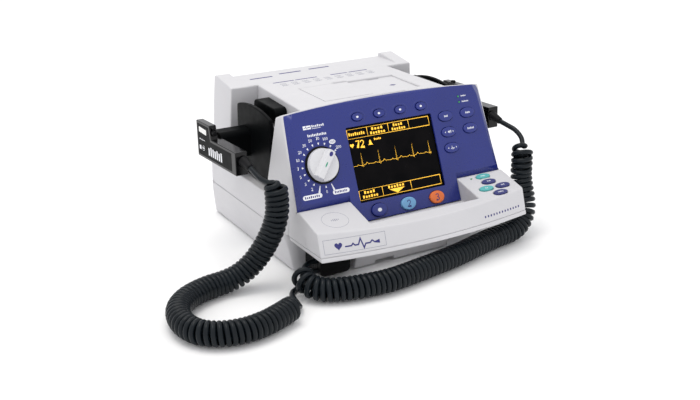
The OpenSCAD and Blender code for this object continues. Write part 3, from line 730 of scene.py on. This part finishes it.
DIGITS = {
    "1": [(0.12, 0.80), (0.36, 1.0), (0.36, 0.0)],
    "2": [(0.02, 0.76), (0.12, 0.94), (0.30, 1.0), (0.48, 0.94), (0.58, 0.76), (0.50, 0.55),
          (0.02, 0.02), (0.60, 0.02)],
    "3": [(0.04, 0.90), (0.28, 1.0), (0.52, 0.90), (0.54, 0.68), (0.28, 0.54), (0.56, 0.38),
          (0.58, 0.14), (0.30, 0.0), (0.02, 0.10)],
    "5": [(0.54, 1.0), (0.10, 1.0), (0.05, 0.56), (0.32, 0.62), (0.56, 0.48), (0.57, 0.18),
          (0.32, 0.0), (0.02, 0.08)],
    "7": [(0.02, 1.0), (0.60, 1.0), (0.24, 0.0)],
}
DIGIT_STEP = 0.78  # this and the next three are shares of a digit's height
DIGIT_WIDTH = 0.6
DIGIT_STROKE = 0.13
ZERO_HALF = (0.25, 0.45)
WORD_FILL = 0.6  # share of each bar's pitch that is printed
LOW_BAR = 0.78  # height of two bars in three, against the third
MITRE = 0.35  # least cosine at a stroke's corner, so that a sharp one stays short


class Marks:
    """Thin shapes printed on one surface. place(u, v, n) is the point n mm above (u, v)."""

    def __init__(self, place, sink=0.05, lift=0.08):
        self.place = place
        self.levels = (-sink, lift)
        self.points = []
        self.faces = []

    def add(self, points, rings, count, looped=False):
        start = len(self.points)
        self.points += points
        self.faces += [tuple(start + k for k in face) for face in band_faces(rings, count, looped)]

    def plate(self, outline):
        points = [self.place(u, v, level) for level in self.levels for u, v in outline]
        self.add(points, 2, len(outline))

    def line(self, path, width, closed=False):
        """A stroke of even width along a path."""
        points = []
        count = len(path)
        low, high = self.levels
        for i, (u, v) in enumerate(path):
            before = path[i - 1] if closed or i else path[0]
            after = path[(i + 1) % count] if closed or i < count - 1 else path[-1]
            first, second = Vector((u, v)) - Vector(before), Vector(after) - Vector((u, v))
            first, second = first or second, second or first
            first.normalize()
            second.normalize()
            bend = (first + second).normalized()
            across = Vector((-bend.y, bend.x)) * width / 2 / max(MITRE, bend.dot(second))
            for sign, level in ((1, low), (-1, low), (-1, high), (1, high)):
                points.append(self.place(u + sign * across.x, v + sign * across.y, level))
        self.add(points, count, 4, closed)

    def bar(self, u, v, width, height):
        self.plate([(u, v), (u + width, v), (u + width, v + height), (u, v + height)])

    def oval(self, u, v, half_u, half_v, count=32):
        self.plate([(u + x, v + y) for x, y in outline_ellipse(half_u, half_v, count)])

    def outline(self, shape, u, v, width):
        self.line([(u + x, v + y) for x, y in shape], width, closed=True)

    def number(self, digits, u, v, height):
        """Digits centred on (u, v)."""
        left = u - (DIGIT_STEP * (len(digits) - 1) + DIGIT_WIDTH) * height / 2
        stroke = DIGIT_STROKE * height
        for place, digit in enumerate(digits):
            corner = left + place * DIGIT_STEP * height
            if digit == "0":
                ring = outline_ellipse(*(half * height for half in ZERO_HALF), 20)
                self.outline(ring, corner + DIGIT_WIDTH / 2 * height, v, stroke)
            else:
                self.line([(corner + x * height, v + (y - 0.5) * height) for x, y in DIGITS[digit]],
                          stroke)

    def strokes(self, u, v, width, height, count):
        """A row of short bars where the real device has a word."""
        pitch = width / count
        for k in range(count):
            self.bar(u + k * pitch, v, WORD_FILL * pitch, height * (LOW_BAR if k % 3 else 1.0))

    def word(self, count, pitch, height):
        """Strokes centred on (0, 0)."""
        self.strokes(-pitch * count / 2, -height / 2, pitch * count, height, count)

    def heart(self, u, v, size):
        curve = []
        for k in range(36):
            t = 2 * math.pi * k / 36
            curve.append((u - size * math.sin(t) ** 3,
                          v + size * (13 * math.cos(t) - 5 * math.cos(2 * t)
                                      - 2 * math.cos(3 * t) - math.cos(4 * t)) / 16))
        self.plate(curve)

    def piece(self, name, material, body):
        mesh = mesh_of(name, self.points, self.faces)
        work = bmesh.new()
        work.from_mesh(mesh)
        bmesh.ops.recalc_face_normals(work, faces=work.faces)
        work.to_mesh(mesh)
        work.free()
        return add_piece(name, mesh, material, body)


def flat(face, height=0.0):
    """The place function of a flat face."""
    return lambda u, v, n: at(face, u, v, height + n)


# ---- Keys ----

# (share of the cap's half size, height above the face as a share of the cap's height)
DOME = [(1.0, 0.35), (0.99, 0.60), (0.95, 0.80), (0.86, 0.91), (0.70, 0.97), (0.45, 1.0),
        (0.2, 1.0)]
DISH = [(1.0, 0.40), (0.98, 0.70), (0.92, 0.86), (0.84, 0.86), (0.70, 0.66), (0.45, 0.45),
        (0.2, 0.42)]
DISC = [(1.0, 0.70), (0.99, 0.86), (0.96, 0.96), (0.92, 1.0), (0.70, 0.99), (0.45, 0.98),
        (0.2, 0.98)]
KEY_POINTS = 48
PANEL_FLANGE_T = 4
BLOCK_FLANGE_T = 1
ARROW_X = 6.2
ARROW_HALF = 1.3

KEY_MATERIALS = {"key_2": KEY_SKY, "key_3": KEY_ORANGE,
                 "block_key_1": KEY_TEAL, "block_key_3": KEY_TEAL}


def profile_of(name):
    if name.startswith("soft"):
        return DISH
    return DOME if name.startswith("side") else DISC


def add_key(name, face):
    """The oval cap of a key, with the hidden flange that keeps it in its hole."""
    low, high = extent(name, face)
    centre, half = key_place(name, face)
    shoulder = low.z + (PANEL_FLANGE_T if face is PANEL else BLOCK_FLANGE_T)
    grow = 1 + KEY_FLANGE / half.y
    levels = [(grow, low.z), (grow, shoulder), (1, shoulder)]
    levels += [(share, height * high.z) for share, height in profile_of(name)]
    shape = outline_ellipse(half.x, half.y, KEY_POINTS)
    rings = [[at(face, centre.x + share * x, centre.y + share * t, n) for x, t in shape]
             for share, n in levels]
    mesh = loft(name + "_cap", rings)
    smooth(mesh, 50)
    material = KEY_MATERIALS.get(name, KEY_BLUE if face is PANEL else KEY_NAVY)
    piece = add_piece(name + "_cap", mesh, material, body_name(name))
    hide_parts(name)


def key_marks(name, face):
    """Marks that lie on a key's domed or dished top, measured from its centre."""
    top = extent(name, face)[1].z
    centre, half = key_place(name, face)
    profile = profile_of(name)

    def place(u, v, n):
        share = math.hypot(u / half.x, v / half.y)
        height = profile[-1][1]
        for (outer, low_side), (inner, high_side) in zip(profile, profile[1:]):
            if inner <= share <= outer:
                height = low_side + (high_side - low_side) * (outer - share) / (outer - inner)
        return at(face, centre.x + u, centre.y + v, height * top + n)

    return Marks(place)


def draw_arrows(marks):
    """A small triangle at each end of a key, pointing outward."""
    for way in (-1, 1):
        base = way * ARROW_X
        marks.plate([(base, -ARROW_HALF), (base + 1.3 * way * ARROW_HALF, 0), (base, ARROW_HALF)])


def draw_volume(marks):
    """A loudspeaker with two waves between arrows."""
    marks.bar(-2.4, -0.9, 1.4, 1.8)
    marks.plate([(-1.0, -0.9), (0.6, -2.2), (0.6, 2.2), (-1.0, 0.9)])
    marks.line([(1.5, -1.3), (2.0, 0), (1.5, 1.3)], 0.5)
    marks.line([(2.6, -2.0), (3.3, 0), (2.6, 2.0)], 0.5)
    draw_arrows(marks)


def draw_pulse(marks):
    """A heartbeat between arrows."""
    beat = [(-3.2, -1.4), (-1.2, -1.4), (-0.4, 2.6), (0.4, -2.4), (1.0, -1.0), (3.2, -1.0)]
    marks.line(beat, 0.6)
    draw_arrows(marks)


def mark_key(name, face, draw, *values, material=WHITE_INK):
    """Prints on a key what draw makes of its marks and the values."""
    marks = key_marks(name, face)
    draw(marks, *values)
    marks.piece(name + "_mark", material, name)


def add_key_marks():
    for i in (1, 2, 3, 4):
        mark_key(f"soft_key_{i}", PANEL, Marks.oval, 0, 0, 1.9, 1.5)
    mark_key("key_1", PANEL, Marks.oval, 0, 0, 3.3, 2.6)
    for digit in ("2", "3"):
        mark_key("key_" + digit, PANEL, Marks.number, digit, 0, 0, 9, material=BLUE_INK)
    for i, count in ((1, 4), (2, 5), (3, 7)):
        mark_key(f"side_key_{i}", PANEL, Marks.word, count, 1.7, 2.8)
    mark_key("side_key_4", PANEL, draw_volume)
    mark_key("side_key_5", PANEL, draw_pulse)
    for i, count in ((1, 5), (2, 4), (3, 3), (4, 4), (5, 6)):
        mark_key(f"block_key_{i}", BLOCK, Marks.word, count, 1.6, 2.2)


def add_keys():
    for keys, face in KEY_HOLES.values():
        for name in keys:
            add_key(name, face)
    add_key_marks()


# ---- Front panel ----

KNOB_X = KNOB.x / MM
POINTER_ANGLE = math.radians(38)
DIAL_FIRST = 56.0
DIAL_STEP = 18.07
DIAL_ENERGIES = ["200", "150", "100", "70", "50", "30", "20", "10", "7", "5", "3", "2"]
DIAL_OFF = -179.0
TICK_FROM = 28.3
TICK_TO = 31.2
TICK_LINE = 0.9
DIGITS_AT = 37.0
DIAL_DIGIT = 3.7
CIRCLED = 1  # the energy that is printed on a white oval
CIRCLED_DIGIT = 3.0
MODES = ((-161, -23.7, 14.9), (163, 21.1, 13.1))  # angle, place and half width of its pill
MODE_LINE_TO = 39.0
PILL_T = 16.8
PILL_HALF_T = 3.2
EMBLEM_X = -17.5
EMBLEM_T = 107.6
RIM_POINTS = 56
RIM_PROFILE = ((3.8, -0.1), (3.3, 0.35), (2.6, 0.55), (1.9, 0.4), (1.2, 0.05), (1.2, -0.1))
RIM_STRETCH = 1.3  # the rim is so much wider at the key's ends


def dial_point(angle, radius):
    """A point of the dial, its angle clockwise from straight up."""
    turn = math.radians(angle)
    return KNOB_X + radius * math.sin(turn), KNOB_T + radius * math.cos(turn)


def add_scale(white, blue):
    """Ticks and energies round the knob."""
    for i, energy in enumerate(DIAL_ENERGIES):
        angle = DIAL_FIRST - DIAL_STEP * i
        white.line([dial_point(angle, TICK_FROM), dial_point(angle, TICK_TO)], TICK_LINE)
        place = dial_point(angle, DIGITS_AT)
        if i == CIRCLED:
            white.oval(*place, 5.0, 3.1)
            blue.number(energy, *place, CIRCLED_DIGIT)
        else:
            white.number(energy, *place, DIAL_DIGIT)
    white.line([dial_point(DIAL_OFF, TICK_FROM), dial_point(DIAL_OFF, TICK_TO)], TICK_LINE)
    white.number("0", *dial_point(DIAL_OFF, DIGITS_AT - 0.5), DIAL_DIGIT)


def add_modes(white, blue):
    """The two pills under the knob, each with a line from its place on the scale."""
    for angle, place, half in MODES:
        centre = KNOB_X + place
        white.line([dial_point(angle, TICK_FROM), dial_point(angle, MODE_LINE_TO)], 1.0)
        pill = outline_rounded(half, PILL_HALF_T, PILL_HALF_T * 0.98)
        white.plate([(centre + x, PILL_T + t) for x, t in pill])
        blue.strokes(centre - half + 3, PILL_T - 1.5, 2 * half - 6, 3.2, 8)


def add_emblem(white, blue):
    """A pulse in a white box, with bars for the words beside and below it."""
    left = KNOB_X + EMBLEM_X
    white.bar(left, EMBLEM_T, 12, 5.2)
    pulse = ((1, 109.8), (3.5, 109.8), (4.5, 112), (5.9, 108.4), (6.9, 110.2), (10.5, 110.2))
    blue.line([(left + u, t) for u, t in pulse], 0.6)
    white.strokes(left + 13.5, 109.6, 20, 3.2, 7)
    white.strokes(left + 13.5, 107.4, 14, 1.2, 8)
    white.strokes(left + 4.5, 97.2, 30, 3.6, 12)


def add_dial():
    white = Marks(flat(PANEL))
    blue = Marks(flat(PANEL, white.levels[1]))
    add_scale(white, blue)
    add_modes(white, blue)
    add_emblem(white, blue)
    white.piece("dial_marks", WHITE_INK, "housing")
    blue.piece("dial_marks_blue", BLUE_INK, "housing")


def add_panel_marks():
    marks = Marks(flat(PANEL))
    for t, count in ((117, 6), (108.6, 8)):
        marks.strokes(126.3, t, 1.5 * count, 2.2, count)
    marks.piece("indicator_captions", WHITE_INK, "housing")
    centre, half = key_place("key_1", PANEL)
    marks = Marks(flat(PANEL))
    ring = outline_ellipse(half.x + 2.2, half.y + 2.2, RIM_POINTS)
    marks.outline(ring, centre.x, centre.y, 1.3)
    marks.piece("key_1_surround", KEY_NAVY, "housing")
    for i in (1, 2, 3, 4):
        add_soft_key_rim(i)


def add_soft_key_rim(i):
    """A low moulded rim round the hole of a soft key."""
    centre, half = key_place(f"soft_key_{i}", PANEL)
    points = []
    for grow, n in RIM_PROFILE:
        shape = outline_ellipse(half.x + RIM_STRETCH * grow, half.y + grow, RIM_POINTS)
        points += [at(PANEL, centre.x + x, centre.y + t, n) for x, t in shape]
    faces = band_faces(len(RIM_PROFILE), RIM_POINTS, looped=True)
    mesh = mesh_of(f"soft_key_{i}_rim", points, faces)
    smooth(mesh, 50)
    add_piece(f"soft_key_{i}_rim", mesh, PANEL_BLUE, "housing")


# ---- What the display shows ----

# Bars for words: left, foot, width, height, count
DISPLAY_WORDS = ((-67.5, 88.6, 27, 4.4, 8), (-29.5, 91.8, 20, 3.8, 4), (-32.5, 86.2, 26, 3.8, 6),
                 (6.5, 91.8, 17, 3.8, 4), (3.5, 86.2, 24, 3.8, 6), (-61.5, 6.0, 19, 3.8, 4),
                 (-64.5, 0.2, 26, 3.8, 6), (-21.5, 6.6, 28, 3.8, 6))
# Boxes in a row: foot, top, and the lines between them
DISPLAY_BOXES = ((84.5, 97.5, (-69.5, -37, -2, 32.5, 67.5)),
                 (-2.0, 11.5, (-69.5, -31.5, 16.5, 67.5)))
TRACE_FROM = -69.5
TRACE_T = 46.0
BEAT = 28.4
PEAK = 17.0
BEATS = 5
LAST_BEAT_CUT = 4  # points of the last beat that don't fit
FRAME_LINE = 0.32
TRACE_LINE = 0.44


def heartbeat(u, t):
    """One beat of the trace that starts at (u, t)."""
    shape = ((0, 0), (4, 0), (6, 1.6), (8, 0), (11, 0), (12.4, -1.5), (13.1, PEAK), (13.8, -2.5),
             (14.6, 0), (18, 0.4), (20.5, 3.0), (23, 0.2), (25, 0.6))
    return [(u + du, t + dt) for du, dt in shape]


def add_display_marks():
    low, high = extent("display_window", PANEL)
    middle = (low.x + high.x) / 2
    face = flat(PANEL, high.z)
    marks = Marks(lambda u, v, n: face(middle + u, v, n))
    for foot, top, edges in DISPLAY_BOXES:
        for t in (foot, top):
            marks.line([(edges[0], t), (edges[-1], t)], FRAME_LINE)
        for x in edges:
            marks.line([(x, foot), (x, top)], FRAME_LINE)
    for word in DISPLAY_WORDS:
        marks.strokes(*word)
    marks.plate([(-20.5, 5.2), (-7.5, -1.4), (5.5, 5.2), (-1.5, 5.2), (-7.5, 5.2), (-13.5, 5.2)])
    marks.heart(-65.5, 75, 3.2)
    marks.number("72", -52.5, 75.6, 9.6)
    marks.plate([(-39.5, 72), (-31.5, 72), (-33.5, 74), (-33.9, 77), (-35.5, 79.4), (-37.1, 77),
                 (-37.5, 74)])
    marks.strokes(-28.5, 77.4, 12, 3.0, 5)
    path = [(TRACE_FROM, TRACE_T)]
    for beat in range(BEATS):
        path += heartbeat(TRACE_FROM + 2 + beat * BEAT, TRACE_T)
    marks.line(path[:-LAST_BEAT_CUT], TRACE_LINE)
    marks.piece("display_marks", AMBER, "housing")


# ---- Handle and deck ----

BOW_CHORD = 172.0
BOW_RISE = 17.0
BOW_R = (BOW_CHORD ** 2 + BOW_RISE ** 2) / (2 * BOW_RISE)
HANDLE_FRONT, HANDLE_FOOT = (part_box("handle_cover")[0][axis] / MM for axis in (1, 2))
FRONT_LEAN = 11 / 35
PULSE_U = (-137, -128, -125.5, -123, -118, -114.5, -110.5, -107.5, -101, -98, -94.5, -87)
PULSE_V = (68.4, 68.4, 71, 68.4, 68.4, 76, 63.4, 68.4, 68.4, 71.2, 68.4, 68.4)
DOT_FIRST = 90
DOT_PITCH = 5.6
DOTS = 13
HANDLE_LABEL = (-166, -78, 61.5, 79.5)
LABEL_STEPS = 12
GRILLE = (-133, -31.5)
GRILLE_BARS = (2.2, 4.0, 5.2, 4.0, 2.2)
HEADER_Y = 117
HEADER_BARS = ((-92, 36), (-54, 38), (8, 30), (41, 33))  # left, width
SIGNS = 9
SIGN_FIRST = -86
SIGN_PITCH = 19
WALL_BARS = ((-114, 38, 150), (-60, 38, 158), (-6, 36, 161))  # left, width, y


def on_handle_front(x, z, n):
    """A point on the bowed, leaning front of the handle."""
    radius = BOW_R - FRONT_LEAN * (z - HANDLE_FOOT)
    y = HANDLE_FRONT + BOW_R - math.sqrt((radius + n) ** 2 - x * x)
    return Vector((x, y, z)) * MM


def curved_box(marks, left, right, low, high, width):
    """The outline of a label that follows the handle's bow."""
    steps = [left + (right - left) * k / LABEL_STEPS for k in range(LABEL_STEPS + 1)]
    path = [(x, low) for x in steps] + [(x, high) for x in reversed(steps)]
    marks.line(path, width, closed=True)


def add_handle_marks():
    badge = Marks(on_handle_front)
    badge.heart(-146, 70.3, 5.4)
    badge.line(list(zip(PULSE_U, PULSE_V)), 1.8)
    badge.piece("handle_badge", BLUE_INK, "housing")
    dots = Marks(on_handle_front)
    for k in range(DOTS):
        dots.oval(DOT_FIRST + DOT_PITCH * k, 66, 1.3, 1.6, 16)
    dots.piece("handle_dots", BLUE_INK, "housing")
    lines = Marks(on_handle_front)
    curved_box(lines, *HANDLE_LABEL, 0.35)
    lines.piece("handle_label_edges", GREY_INK, "housing")


def add_block_marks():
    """The round grille pattern on the left block."""
    x, t = GRILLE
    ring = Marks(flat(BLOCK))
    ring.outline(outline_ellipse(19, 17, RIM_POINTS), x, t, 0.35)
    for k, height in enumerate(GRILLE_BARS):
        ring.bar(x - 6 + 2.6 * k, t - height / 2, 0.9, height)
    ring.piece("grille_marks", GREY_INK, "housing")


def marks_at_level(z):
    """Marks on a level face z mm above the floor, seen from above."""
    return Marks(lambda u, v, n: Vector((u, v, z + n)) * MM)


def add_deck_marks():
    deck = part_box("printer_door")[1][2] / MM
    header = marks_at_level(deck)
    for left, width in HEADER_BARS:
        header.bar(left, HEADER_Y, width, 2.8)
    header.piece("deck_header", BLUE_INK, "housing")
    grey = marks_at_level(deck)
    for k in range(SIGNS):
        left = SIGN_FIRST + SIGN_PITCH * k
        grey.outline(outline_rounded(4.6, 3.4, 1.4, 3), left + 5, 106, 0.4)
        grey.line([(left + 2, 105), (left + 5, 107.5), (left + 8, 105)], 0.4)
        grey.strokes(left, 98.4, 12, 1.3, 7)
        grey.strokes(left, 95.6, 9, 1.3, 5)
    grey.piece("deck_pictograms", GREY_INK, "housing")
    wall = marks_at_level(deck + 1)
    for left, width, y in WALL_BARS:
        wall.bar(left, y, width, 4.0)
    wall.piece("wall_marks", BLUE_INK, "housing")
    arrowhead = marks_at_level(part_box("deck_plate")[1][2] / MM)
    arrowhead.plate([(58, 27), (64, 23.5), (70, 27), (64, 30.5)])
    arrowhead.piece("deck_plate_mark", BLUE_INK, "housing")


# ---- Paddles ----

GRIP_LEN = 131.0
GRIP_PITCH = math.radians(3)
GRIP_FRONT, GRIP_LOW = (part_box("left_paddle_grip")[0][axis] / MM for axis in (1, 2))
GRIP_FOOT = GRIP_LOW + GRIP_LEN * math.sin(GRIP_PITCH)
GRIP_FACE = -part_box("left_paddle_grip")[0][0] / MM
LABEL = [(13, 3.6), (127.4, 3.6), (127.4, 49.4), (88.6, 49.4), (84.6, 29.4), (13, 29.4)]
LABEL_T = 0.15
WARNING_BARS = (13, 11, 13, 11, 12, 13, 11)
RELIEF_PLACE = (213, -29, 158)
RELIEF_DIP = math.radians(10)
RELIEF_SIDES = 32
RELIEF_PROFILE = [(7.5, -1), (7.5, 1.6), (7.0, 2.4), (6.6, 3.0), (6.4, 8), (5.4, 17), (4.9, 20),
                  (4.2, 21), (3.2, 21)]


def grip_face(side):
    """The place function of a grip's outer face: u back along it, v up."""
    def place(u, v, n):
        return Vector((side * (GRIP_FACE + n),
                       GRIP_FRONT + u * math.cos(GRIP_PITCH) + v * math.sin(GRIP_PITCH),
                       GRIP_FOOT - u * math.sin(GRIP_PITCH) + v * math.cos(GRIP_PITCH))) * MM
    return place


def add_relief(side):
    name = SIDE_NAMES[side] + "_paddle_relief"
    foot = Vector((side * RELIEF_PLACE[0], *RELIEF_PLACE[1:])) * MM
    axis = Vector((0, -math.cos(RELIEF_DIP), -math.sin(RELIEF_DIP)))
    up = X.cross(axis)
    rings = [[foot + MM * point for point in circle(along * axis, radius, X, up, RELIEF_SIDES)]
             for radius, along in RELIEF_PROFILE]
    mesh = loft(name + "_sleeve", rings)
    smooth(mesh, 40)
    piece = add_piece(name + "_sleeve", mesh, DARK, SIDE_NAMES[side] + "_paddle")
    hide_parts(name)


def add_paddle_marks(side):
    name = SIDE_NAMES[side] + "_paddle"
    label = Marks(grip_face(side), 0.2, LABEL_T)
    label.plate(LABEL)
    label.piece(name + "_label", PADDLE_MATTE, name)
    white = Marks(lambda u, v, n: grip_face(side)(u, v, n + LABEL_T))
    for k, height in enumerate(WARNING_BARS):
        white.bar(45 + 7 * k, 8.5, 4.2, height)
    white.outline(outline_ellipse(3.4, 3.4, 24), 109, 15, 0.7)
    white.line([(106, 15), (112, 15)], 0.7)
    white.bar(117, 11.5, 6, 6)
    white.strokes(103, 26.5, 20, 1.6, 8)
    white.piece(name + "_ink", WHITE_INK, name)


def add_paddles():
    for side in SIDE_NAMES:
        add_relief(side)
        add_paddle_marks(side)


# ---- Knob and plug ----

# A mark's finish, its distance towards the pointer's tip, and its half sizes
KNOB_OVALS = (("knob_tip_mark", BLUE_INK, (15.5, 2.6, 3.6)),
              ("knob_side_mark", GREEN_INK, (-1.0, 1.0, 4.2)))
RIBS = 5
RIB_FIRST = 8
RIB_PITCH = 6
RIB_PROUD = 0.5
RIB_CORNER = 8
RIB_PROFILE = ((0, 0.97), (1, 1.0), (2, 1.0), (3, 0.97))  # mm along it, share of its size


def add_knob_marks():
    ridge = flat(PANEL, extent("energy_knob", PANEL)[1].z)
    for name, material, oval in KNOB_OVALS:
        marks = Marks(ridge)
        marks.plate(ring_on_pointer(*oval))
        marks.piece(name, material, "energy_knob")


def ring_on_pointer(along, half_across, half_along):
    """An oval on the ridge of the knob's pointer, some way towards its tip."""
    way = Vector((math.sin(POINTER_ANGLE), math.cos(POINTER_ANGLE)))
    across = Vector((way.y, -way.x))
    centre = Vector((KNOB_X, KNOB_T)) + along * way
    return [centre + x * across + y * way for x, y in outline_ellipse(half_across, half_along, 24)]


def add_plug():
    """The therapy plug with low finger ribs round it; returns its pieces."""
    body = add_moulded("therapy_plug", 2.0, DARK)
    low, high = (Vector(corner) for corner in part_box("therapy_plug"))
    centre = (low + high) / 2
    proud = RIB_PROUD * MM
    shape = outline_rounded(high.x - centre.x + proud, high.z - centre.z + proud, RIB_CORNER * MM)
    points, faces = [], []
    for k in range(RIBS):
        front = low.y + (RIB_FIRST + RIB_PITCH * k) * MM
        start = len(points)
        for along, share in RIB_PROFILE:
            points += [(centre.x + share * x, front + along * MM, centre.z + share * z)
                       for x, z in shape]
        faces += [tuple(start + i for i in face)
                  for face in band_faces(len(RIB_PROFILE), len(shape))]
    mesh = mesh_of("plug_ribs", points, faces)
    smooth(mesh, 40)
    return [body, add_piece("plug_ribs", mesh, DARK, "housing")]


# ---- Stage ----

FLOOR_HALF = 6.0
FLOOR_Z = -0.0002
WORLD_COLOUR = (0.985, 0.985, 1.0, 1)
WORLD_STRENGTH = 1.04
LAMP_PLACE = (-0.4, 0.1, 2.1)
LAMP_AIM = (0, 0, 0.1)
LAMP_SIZE = 1.2
LAMP_POWER = 14
LAMP_COLOUR = (1.0, 0.98, 0.92)


def make_floor():
    corners = [(x * FLOOR_HALF, y * FLOOR_HALF, 0) for x, y in ((-1, -1), (1, -1), (1, 1), (-1, 1))]
    mesh = mesh_of("floor", corners, [(0, 1, 2, 3)])
    finish = Finish("floor", Roughness=0.9)
    finish.colour(finish.noise(3, 2), (0.955, 0.955, 0.96), (0.97, 0.97, 0.97))
    floor = add_piece("floor", mesh, finish.material, None)
    floor.location.z = FLOOR_Z


def make_lamp():
    data = bpy.data.lights.new("key", "AREA")
    data.shape = "DISK"
    data.size = LAMP_SIZE
    data.energy = LAMP_POWER
    data.color = LAMP_COLOUR
    aimed("key", data, LAMP_PLACE, Vector(LAMP_AIM) - Vector(LAMP_PLACE))


def make_stage():
    make_floor()
    world = bpy.data.worlds.new("world")
    world.use_nodes = True
    background = world.node_tree.nodes["Background"]
    background.inputs["Color"].default_value = WORLD_COLOUR
    background.inputs["Strength"].default_value = WORLD_STRENGTH
    bpy.context.scene.world = world
    bpy.context.scene.view_settings.view_transform = "Standard"
    make_lamp()


make_camera()
plug = add_plug()
for side, (route, turns, length) in CORDS.items():
    make_cord(side, route, turns)
dress_carried()
add_moulded_pieces()
add_keys()
add_dial()
add_panel_marks()
add_display_marks()
add_handle_marks()
add_block_marks()
add_deck_marks()
add_paddles()
add_knob_marks()
make_stage()
